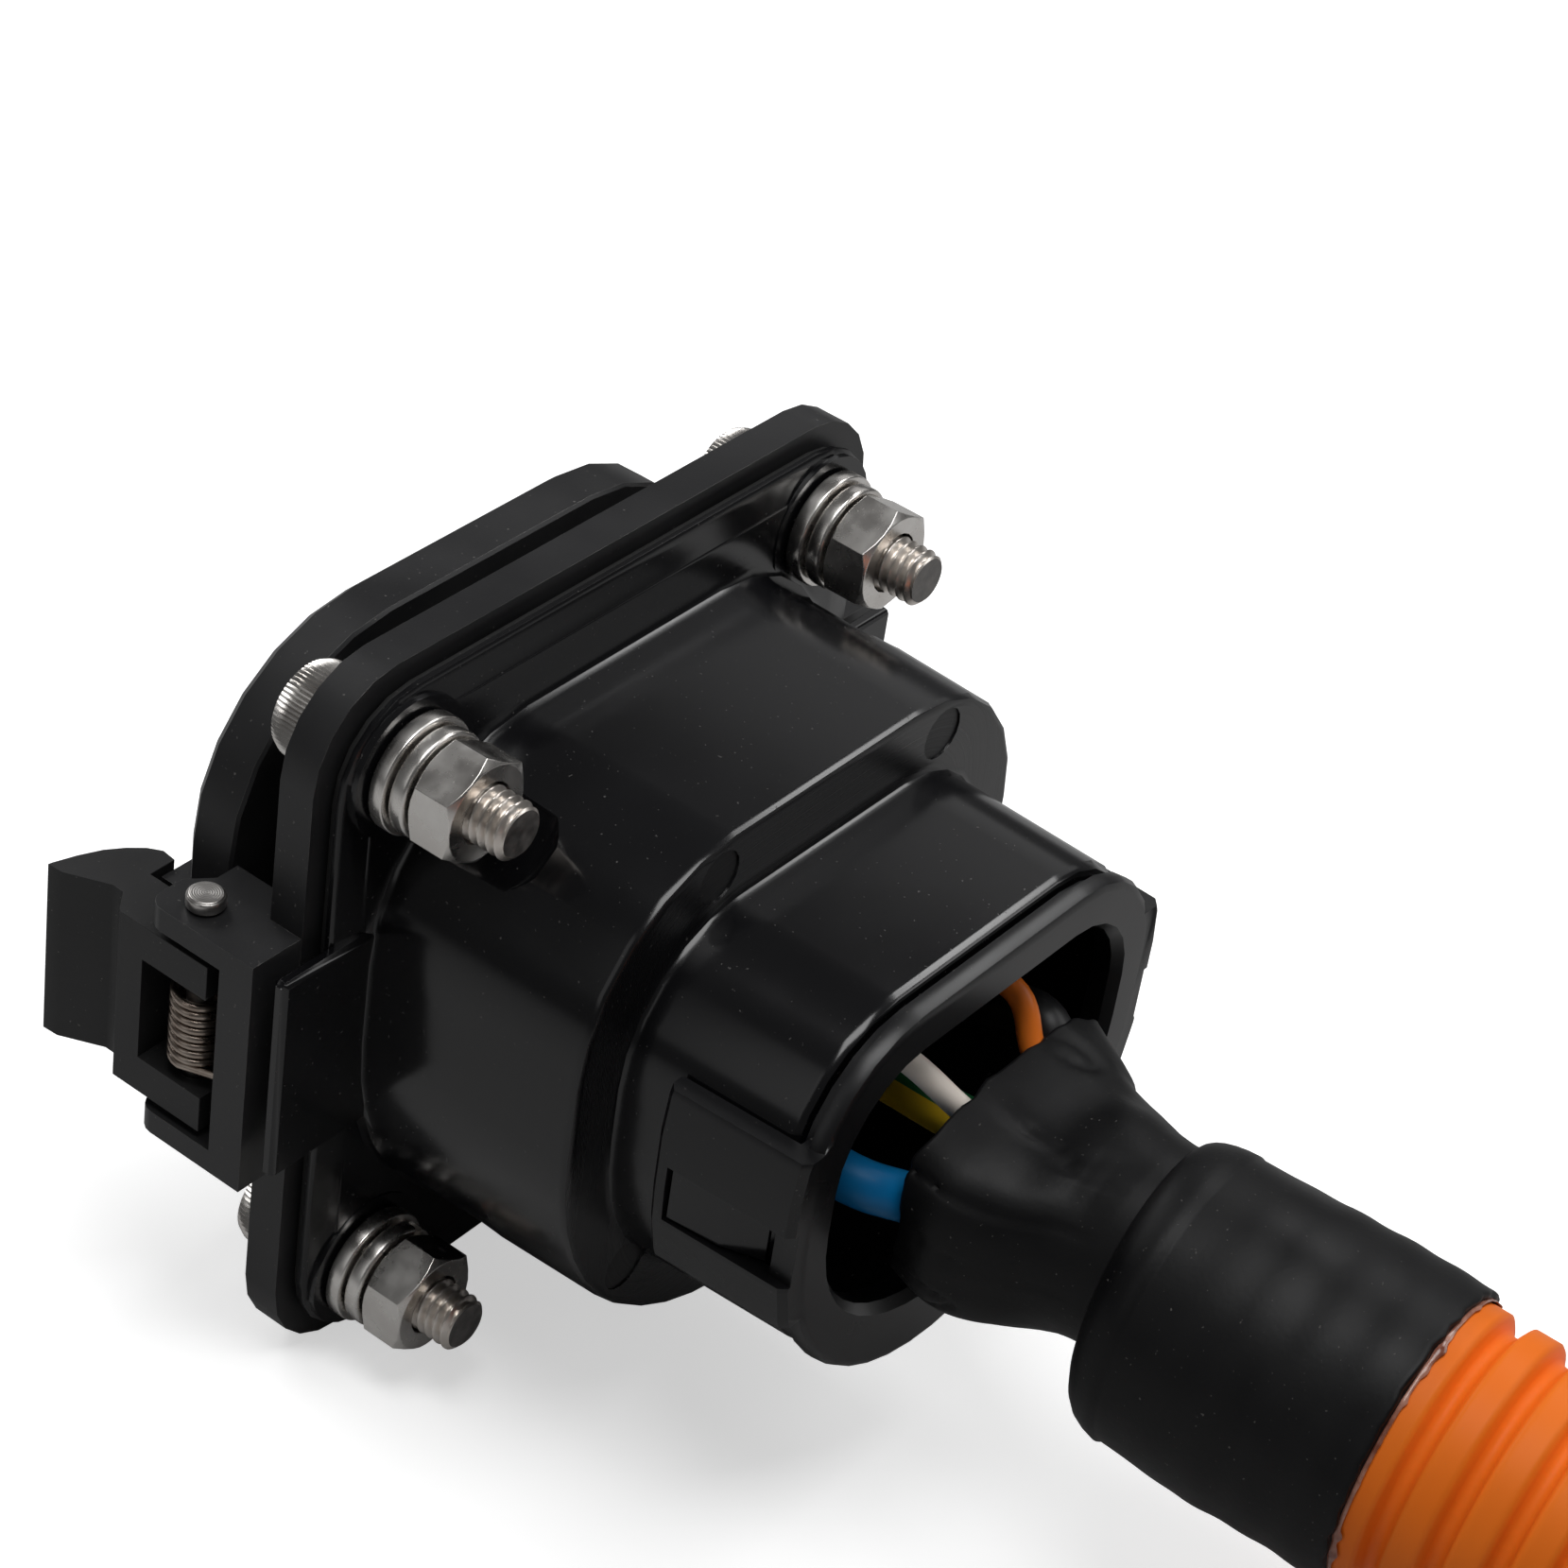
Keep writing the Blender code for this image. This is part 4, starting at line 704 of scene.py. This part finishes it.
def makeWires():
    for name, wire in wireSet.items():
        x, z = wire["from"]
        places = [(x, wireDepths["barrelEnd"] + along, z) for along in wireDepths["straight"]]
        places += [(wire[spot][0], wireDepths[spot], wire[spot][1]) for spot in ("bend", "mouth", "pocket")]
        points = smoothRoute([at(*place) for place in places], wireStep * mm)
        pick = (lambda ring, side: 1 if side in stripeSides else 0) if name == "green_yellow" else None
        tubePiece(pieceName("wire", name), points, wire["radius"] * mm, tailShape["sides"],
                  [tailSet[name][2], "yellowWire"], "wire_" + name, pick=pick)


# The boot: a wide flattened mouth that narrows to a round neck, softly folded
bootSet = {
    "rings": [(-2.9, 50.4, -4.1, 16.4, 10.6), (-1.7, 54.9, -4.7, 15.9, 10.9), (-0.9, 59.4, -4.8, 13.9, 10.9),
              (-0.9, 63.8, -4.0, 12.0, 11.1), (-0.7, 68.3, -3.4, 10.6, 10.6), (-0.99, 72.79, -3.61, 10.6, 10.6)],
    "wall": 0.9, "sides": 128, "steps": 60, "sag": 0.5, "crease": 0.45, "creaseWidth": 7, "lip": 0.9, "lipFade": 0.14,
    "square": 3.2, "squareFade": 0.7, "smoothFrom": 0.82, "smoothOver": 0.2, "insideFrom": 0.4, "insideSteps": 14,
}  # rings: middle x, y, z and half width and height


def noiseAt(x, y, z, shift=(0, 0, 0)):  # smooth noise, -1 to 1
    return noise.noise(Vector((x, y, z)) + Vector(shift))


def bootRing(share, inset, ahead=0.0):
    x, y, z, halfX, halfZ = readBetween(bootSet["rings"], share)
    fade = max(0.0, min(1.0, (bootSet["smoothFrom"] - share) / bootSet["smoothOver"]))
    mouth = max(0.0, 1 - share / bootSet["lipFade"])
    power = 2 / (2 + (bootSet["square"] - 2) * max(0.0, 1 - share / bootSet["squareFade"]))  # squarer at the mouth
    ring = []
    for step in range(bootSet["sides"]):
        angle = 2 * math.pi * step / bootSet["sides"]
        cosine, sine = math.cos(angle), math.sin(angle)
        out = Vector((math.copysign(abs(cosine) ** power, cosine), 0, math.copysign(abs(sine) ** power, sine)))
        place = Vector((out.x * halfX, y, out.z * halfZ))
        slack = noiseAt(place.x * 0.14, y * 0.05, place.z * 0.14, (3, 7, 1)) + 0.5  # broad and small hollows
        small = noiseAt(place.x * 0.33, y * 0.13, place.z * 0.33, (9, 2, 5)) + 0.5
        line = noiseAt(place.x * 0.17 + y * 0.05, y * 0.04, place.z * 0.17, (5, 1, 8))
        crease = max(0.0, 1 - abs(line) * bootSet["creaseWidth"]) ** 2
        inward = (max(0.0, 0.7 * slack + 0.3 * small) * bootSet["sag"] + crease * bootSet["crease"]) * fade + inset
        ragged = noiseAt(out.x * 1.7, out.z * 1.7, 4) + 0.5 * noiseAt(out.x * 6, out.z * 6, 2)
        ring.append(at(x + out.x * (halfX - inward), y + ahead + mouth * bootSet["lip"] * max(0.0, 0.5 + ragged),
                       z + out.z * (halfZ - inward)))
    return ring


def makeBoot():
    wall = bootSet["wall"]
    inside, insideSteps = bootSet["insideFrom"], bootSet["insideSteps"]
    rings = [bootRing(inside * (1 - step / insideSteps), wall) for step in range(insideSteps + 1)]
    # the rounded lip
    rings += [bootRing(0, wall * 0.82, -0.2), bootRing(0, wall * 0.5, -0.32), bootRing(0, wall * 0.18, -0.2)]
    rings += [bootRing(step / bootSet["steps"], 0) for step in range(bootSet["steps"] + 1)]
    addPiece("innerBoot", loftMesh("innerBoot", rings), "heatShrink", "inlet", ("inner_boot",),
             sharpAngle=70)


# The sleeve over the boot's neck and the conduit's end: rows of depth, radius and share of the neck's offset
sleeveSet = {
    "start": (0.9, 69.8, -5.1), "end": leadSet["exit"], "neckOffset": (-1.7, 0, 1.63), "sides": 128,
    "front": [(3.6, 10.9, 1), (0.15, 10.9, 1), (0, 11.1, 1), (0.05, 11.5, 0.9), (0.3, 12.3, 0.7), (0.75, 13.2, 0.45),
              (1.4, 13.95, 0.25), (2.3, 14.5, 0.12), (3.4, 14.85, 0.05), (4.6, 15.05, 0)],
    "radius": 15.4, "inner": 14.5, "shoulder": 3.6, "gap": 0.3, "wave": 0.112, "soft": 0.22, "ragged": 0.35,
    "edge": 0.16, "steps": 60,
}


def sleeveRing(along, radius, share, ragged=0.0, soft=0.0):
    start, end = at(*sleeveSet["start"]), at(*sleeveSet["end"])
    place = standAt(start, end - start)
    shift = Vector(sleeveSet["neckOffset"]) * mm * share
    ring = []
    for step in range(sleeveSet["sides"]):
        angle = 2 * math.pi * step / sleeveSet["sides"]
        x, y = math.cos(angle), math.sin(angle)
        loose = soft * max(0.0, 0.5 + noiseAt(x * 1.6, y * 1.6, along * 0.11))
        rough = ragged * max(0.0, 0.45 + noiseAt(x * 9, y * 9, 1) + noiseAt(x * 3, y * 3, 6))
        ring.append(place @ (Vector((x * (radius - loose), y * (radius - loose), along - rough)) * mm) + shift)
    return ring


def makeSleeve():
    length = (Vector(sleeveSet["end"]) - Vector(sleeveSet["start"])).length
    outer, inner, gap = sleeveSet["radius"], sleeveSet["inner"], sleeveSet["gap"]
    edge, ragged, soft = sleeveSet["edge"], sleeveSet["ragged"], sleeveSet["soft"]
    rings = [sleeveRing(*row) for row in sleeveSet["front"]]
    frontEnd, frontRadius, _ = sleeveSet["front"][-1]
    for step in range(1, sleeveSet["steps"] + 1):
        share = step / sleeveSet["steps"]
        along = frontEnd + (length - frontEnd - gap) * share
        rib = 0.5 - 0.5 * math.cos(2 * math.pi * along / leadSet["pitch"])  # the conduit's ribs show through
        radius = frontRadius + (outer - frontRadius) * min(1, share * 2.5) - sleeveSet["wave"] * min(1, share * 2) * rib
        rings.append(sleeveRing(along, radius, 0, ragged * share ** 12, soft))
    rings += [sleeveRing(length - 0.1, outer - edge, 0, ragged, soft),
              sleeveRing(length, outer - 2.4 * edge, 0, ragged),
              sleeveRing(length, inner + edge, 0, ragged),
              sleeveRing(length - edge, inner, 0),
              sleeveRing(sleeveSet["shoulder"] + gap, inner, 0)]
    addPiece("outerSleeve", loftMesh("outerSleeve", rings, True), "heatShrink", "inlet",
             ("outer_sleeve",), sharpAngle=70)


# Hot melt squeezed out between sleeve and conduit
meltSet = {"radius": 14.4, "thick": 0.14, "ragged": 0.42, "steps": 220, "sides": 8}


def makeMelt():
    start, end = at(*sleeveSet["start"]), at(*sleeveSet["end"])
    place = standAt(end, end - start)
    rings = []
    for step in range(meltSet["steps"]):
        angle = 2 * math.pi * step / meltSet["steps"]
        out = Vector((math.cos(angle), math.sin(angle), 0))
        lump = noise.noise(out * 2.2 + Vector((4, 1, 2))) + 0.7 * noise.noise(out * 11 + Vector((1, 5, 3)))
        thick = meltSet["thick"] + meltSet["ragged"] * max(0.0, lump)
        ring = []
        for side in range(meltSet["sides"]):
            turn = 2 * math.pi * side / meltSet["sides"]
            radius = meltSet["radius"] + thick * 0.5 * math.cos(turn)
            ring.append(place @ ((out * radius + Vector((0, 0, thick * 1.6 * math.sin(turn)))) * mm))
        rings.append(ring)
    addPiece("meltBead", loftMesh("meltBead", rings, True), "hotMelt", "inlet", sharpAngle=70)


# Fasteners
boltSet = {
    "places": {1: (30, 30), 2: (-30, 30), 3: (30, -30), 4: (-30, -30)}, "headFront": -10.3, "headHeight": 6.0,
    "headRadius": 5.0, "knurls": 64, "knurlDepth": 0.2, "headEdge": 0.4, "socketAcross": 5.0, "socketDepth": 3.0,
    "shank": 2.9, "threadFrom": 5.0, "tip": 15.7, "root": 2.32, "pitch": 1.0, "tipEdge": 0.5, "overlap": 0.3,
}
boltFinishes = ["stainless", "threadSteel", "cutEnd"]
washerSet = {"inner": 3.3, "outer": 6.0, "low": 2.8, "thick": 1.6, "edge": 0.2}
springWasherSet = {"inner": 3.3, "outer": 5.5, "low": 4.7, "thick": 1.7, "edge": 0.35, "split": 1.2,
                   "firstSplit": 25, "nextSplit": 70}


def makeRidgeTree():  # a closed round bar with ridges: a screw thread, or straight knurls
    tree = bpy.data.node_groups.new("ridgedBar", "GeometryNodeTree")
    groupSocket(tree, "Crest Radius", "NodeSocketFloat", 0.003)
    groupSocket(tree, "Root Radius", "NodeSocketFloat", 0.0024)
    groupSocket(tree, "Length", "NodeSocketFloat", 0.01)
    groupSocket(tree, "End Chamfer", "NodeSocketFloat", 0.0005)
    groupSocket(tree, "Ridges Around", "NodeSocketFloat", 1.0)
    groupSocket(tree, "Ridges Per Metre", "NodeSocketFloat", 1000.0)
    groupSocket(tree, "Sides", "NodeSocketInt", 48)
    groupSocket(tree, "Rows", "NodeSocketInt", 100)
    groupSocket(tree, "Finish", "NodeSocketMaterial")
    groupSocket(tree, "Geometry", "NodeSocketGeometry", side="OUTPUT")
    nodes, links = tree.nodes, tree.links
    given = nodes.new("NodeGroupInput").outputs
    out = nodes.new("NodeGroupOutput")
    grid = nodes.new("GeometryNodeMeshGrid")
    grid.inputs["Size X"].default_value = 1.0
    grid.inputs["Size Y"].default_value = 1.0
    links.new(reckon(tree, "ADD", given["Sides"], 1), grid.inputs["Vertices X"])
    links.new(given["Rows"], grid.inputs["Vertices Y"])
    spot = nodes.new("ShaderNodeSeparateXYZ")
    links.new(nodes.new("GeometryNodeInputPosition").outputs[0], spot.inputs[0])
    around = reckon(tree, "ADD", spot.outputs["X"], 0.5)
    share = reckon(tree, "ADD", spot.outputs["Y"], 0.5)
    # one row more at each end, drawn in to the axis, makes the flat ends
    pad = reckon(tree, "DIVIDE", given["Length"], reckon(tree, "SUBTRACT", given["Rows"], 3))
    whole = reckon(tree, "ADD", given["Length"], reckon(tree, "MULTIPLY", pad, 2))
    raw = reckon(tree, "SUBTRACT", reckon(tree, "MULTIPLY", share, whole), pad)
    along = reckon(tree, "MINIMUM", reckon(tree, "MAXIMUM", raw, 0), given["Length"])
    turns = reckon(tree, "ADD", reckon(tree, "MULTIPLY", along, given["Ridges Per Metre"]),
                   reckon(tree, "MULTIPLY", around, given["Ridges Around"]))
    peak = reckon(tree, "MULTIPLY", reckon(tree, "ABSOLUTE", reckon(
        tree, "SUBTRACT", reckon(tree, "FRACT", turns), 0.5)), 2)
    flank = nodes.new("ShaderNodeMapRange")
    flank.inputs["From Min"].default_value = 0.12  # narrow flats at root and crest
    flank.inputs["From Max"].default_value = 0.88
    links.new(peak, flank.inputs["Value"])
    links.new(given["Root Radius"], flank.inputs["To Min"])
    links.new(given["Crest Radius"], flank.inputs["To Max"])
    room = reckon(tree, "MINIMUM", along, reckon(tree, "SUBTRACT", given["Length"], along))
    short = reckon(tree, "MAXIMUM", reckon(tree, "SUBTRACT", given["End Chamfer"], room), 0)
    limit = reckon(tree, "SUBTRACT", given["Crest Radius"], short)
    inside = reckon(tree, "LESS_THAN", reckon(tree, "ABSOLUTE", reckon(tree, "SUBTRACT", share, 0.5)),
                    reckon(tree, "SUBTRACT", 0.5, reckon(tree, "DIVIDE", 0.5, given["Rows"])))
    radius = reckon(tree, "MULTIPLY", reckon(tree, "MINIMUM", flank.outputs["Result"], limit), inside)
    angle = reckon(tree, "MULTIPLY", around, 2 * math.pi)
    place = nodes.new("ShaderNodeCombineXYZ")
    links.new(reckon(tree, "MULTIPLY", radius, reckon(tree, "COSINE", angle)), place.inputs["X"])
    links.new(along, place.inputs["Y"])
    links.new(reckon(tree, "MULTIPLY", radius, reckon(tree, "SINE", angle)), place.inputs["Z"])
    shaped = nodes.new("GeometryNodeSetPosition")
    links.new(grid.outputs["Mesh"], shaped.inputs["Geometry"])
    links.new(place.outputs[0], shaped.inputs["Position"])
    merged = nodes.new("GeometryNodeMergeByDistance")
    merged.inputs["Distance"].default_value = 0.004 * mm
    links.new(shaped.outputs[0], merged.inputs["Geometry"])
    real = nodes.new("GeometryNodeRealizeInstances")
    links.new(merged.outputs[0], real.inputs["Geometry"])
    paint = nodes.new("GeometryNodeSetMaterial")
    links.new(real.outputs["Geometry"], paint.inputs["Geometry"])
    links.new(given["Finish"], paint.inputs["Material"])
    links.new(paint.outputs["Geometry"], out.inputs["Geometry"])
    return tree


def ridgedBar(name, tree, values):
    item = addToScene(name, bpy.data.meshes.new(name + "Start"))
    modifier = item.modifiers.new("ridges", "NODES")
    modifier.node_group = tree
    setInputs(modifier, values)
    mesh = plainMesh(item)
    turnFacesOut(mesh)
    return mesh


def barRings(radius, low, high, sides):  # two rings of a plain bar along the inlet's axis
    angles = [2 * math.pi * (step + 0.5) / sides for step in range(sides)]
    return [[Vector((radius * math.cos(angle), depth, radius * math.sin(angle))) * mm for angle in angles]
            for depth in (low, high)]


def makeHead(tree):  # the knurled head with its hexagon socket, its front at zero
    head = ridgedBar("boltHead", tree, {
        "Crest Radius": boltSet["headRadius"] * mm,
        "Root Radius": (boltSet["headRadius"] - boltSet["knurlDepth"]) * mm,
        "Length": boltSet["headHeight"] * mm, "End Chamfer": boltSet["headEdge"] * mm,
        "Ridges Around": float(boltSet["knurls"]), "Ridges Per Metre": 0.0, "Sides": boltSet["knurls"] * 4,
        "Rows": 10, "Finish": finishes["stainless"],
    })
    item = addToScene("boltHead", head)
    hole = loftMesh("socket", barRings(boltSet["socketAcross"] / math.sqrt(3), -1, boltSet["socketDepth"], 6))
    cutter = addToScene("socket", hole)
    drill = item.modifiers.new("socket", "BOOLEAN")
    drill.operation = "DIFFERENCE"
    drill.solver = "EXACT"
    drill.object = cutter
    mesh = plainMesh(item)
    bpy.data.objects.remove(cutter, do_unlink=True)
    return mesh


def makeBoltMesh():
    tree = makeRidgeTree()
    head = makeHead(tree)
    head.transform(Matrix.Translation((0, boltSet["headFront"] * mm, 0)))
    overlap = boltSet["overlap"]
    shank = loftMesh("shank", barRings(boltSet["shank"], boltSet["headFront"] + boltSet["headHeight"] - overlap,
                                       boltSet["threadFrom"] + overlap, 32))
    thread = ridgedBar("thread", tree, {
        "Crest Radius": boltSet["shank"] * mm, "Root Radius": boltSet["root"] * mm,
        "Length": (boltSet["tip"] - boltSet["threadFrom"]) * mm, "End Chamfer": boltSet["tipEdge"] * mm,
        "Ridges Around": 1.0, "Ridges Per Metre": 1000 / boltSet["pitch"], "Sides": 56, "Rows": 150,
        "Finish": finishes["threadSteel"],
    })
    thread.transform(Matrix.Translation((0, boltSet["threadFrom"] * mm, 0)))
    for face in thread.polygons:
        face.material_index = 2 if face.normal.y > 0.95 and face.center.y > (boltSet["tip"] - 0.05) * mm else 1
    return joinedMesh("boltShape", [(head, 0), (shank, 0), (thread, None)], boltFinishes)


def ringMesh(name, shape, startAngle=0.0, turn=2 * math.pi, steps=72):  # a washer, whole or split
    edge = shape["edge"]
    corners = ((shape["outer"] - edge, edge, -90), (shape["outer"] - edge, shape["thick"] - edge, 0),
               (shape["inner"] + edge, shape["thick"] - edge, 90), (shape["inner"] + edge, edge, 180))
    profile = []
    for radius, depth, first in corners:
        for bend in (0, 30, 60, 90):
            angle = math.radians(first + bend)
            profile.append((radius + edge * math.cos(angle), depth + edge * math.sin(angle)))
    closed = turn > 2 * math.pi - 0.001
    rings = []
    for step in range(steps if closed else steps + 1):
        angle = startAngle + turn * step / steps
        rings.append([Vector((radius * math.cos(angle), shape["low"] + depth, -radius * math.sin(angle))) * mm
                      for radius, depth in profile])
    return loftMesh(name, rings, closed)


def makeFasteners():
    bolt = makeBoltMesh()
    for number, (x, z) in boltSet["places"].items():
        place = Matrix.Translation(at(x, 0, z))
        mesh = bolt.copy()
        mesh.transform(place)
        addPiece(f"bolt{number}", mesh, boltFinishes, "inlet", (f"bolt_{number}",), sharpAngle=30)
        flat = ringMesh(f"washer{number}", washerSet)
        flat.transform(place)
        addPiece(f"washer{number}", flat, "stainless", "inlet", (f"washer_{number}",), sharpAngle=40)
        middle = math.radians(springWasherSet["firstSplit"] + springWasherSet["nextSplit"] * number)
        half = math.asin(springWasherSet["split"] / 2 / springWasherSet["outer"])
        split = ringMesh(f"springWasher{number}", springWasherSet, middle + half, 2 * math.pi - 2 * half)
        split.transform(place)
        addPiece(f"springWasher{number}", split, "stainless", "inlet", (f"spring_washer_{number}",),
                 sharpAngle=40)
        dressNode(f"nut_{number}", f"nut{number}", "stainless", bevel=0.14, segments=3, angle=24)
    bpy.data.meshes.remove(bolt)


# Torsion spring on the latch pin
springSet = {"pin": (42.9, -9.3), "radius": 2.45, "wire": 0.4, "turns": 8, "length": 8.0, "low": -3.4,
             "firstLeg": (43.75, -4.85), "lastLeg": (40.45, -13.4), "perTurn": 28, "sides": 12}


def makeSpring():
    x, y = springSet["pin"]
    count = springSet["turns"] * springSet["perTurn"] + springSet["perTurn"] // 2
    points = [at(*springSet["firstLeg"], springSet["low"])]
    for step in range(count + 1):
        angle = -2 * math.pi * step / springSet["perTurn"]
        points.append(at(x + springSet["radius"] * math.cos(angle), y + springSet["radius"] * math.sin(angle),
                         springSet["low"] + springSet["length"] * step / count))
    points.append(at(*springSet["lastLeg"], springSet["low"] + springSet["length"]))
    tubePiece("latchSpring", points, springSet["wire"] * mm, springSet["sides"], ["springSteel"],
              "latch_spring")


# Rigid pieces that keep their CAD shape: name, finish, slot, body, width of the soft edges and their finish
bodySet = {
    "frame_plate": ("framePlate", "anodised", "anodised", "inlet", 0.35, "anodisedEdge"),
    "cover": ("coverPlate", "anodised", "anodised", "cover", 0.3, "anodisedEdge"),
    "latch_lever": ("latchLever", "mattBlack", "matt_black", "latch", 0.3, "mattEdge"),
    "housing": ("housingShell", "glossBlack", "gloss_black", "inlet", 0.2, None),
    "rear_cap": ("rearCap", "satinBlack", "gloss_black", "inlet", 0.3, None),
    "contact_retainer": ("contactRetainer", "satinBlack", "matt_black", "inlet", 0.15, None),
    "flange_gasket": ("flangeGasket", "rubber", "rubber", "inlet", 0.1, None),
    "cover_seal": ("coverSeal", "rubber", "rubber", "cover", 0.2, None),
    "hinge_pin": ("hingePin", "stainless", "stainless", "inlet", 0.1, None),
    "latch_pin": ("latchPin", "pinSteel", "stainless", "inlet", 0.08, None),
}


contactNames = ("l1", "n", "pe", "cp", "pp")


def dressBodies():
    for node, (name, finish, slot, body, bevel, edge) in bodySet.items():
        dressNode(node, name, finish, body, bevel, edge=edge)
    for name in contactNames:
        dressNode("pin_" + name, pieceName("contact", name), "silver", bevel=0.1)


makeCamera()
makeLamps()
makeWorld()
makeFloor()
print("stage: camera and lamps made")
makeLead()
makeWires()
makeBoot()
makeSleeve()
makeMelt()
print("stage: wires, boot and sleeve made")
makeFasteners()
makeSpring()
print("stage: fasteners and spring made")
dressBodies()
print("stage: bodies dressed")

bpy.context.scene.view_settings.view_transform = "Standard"
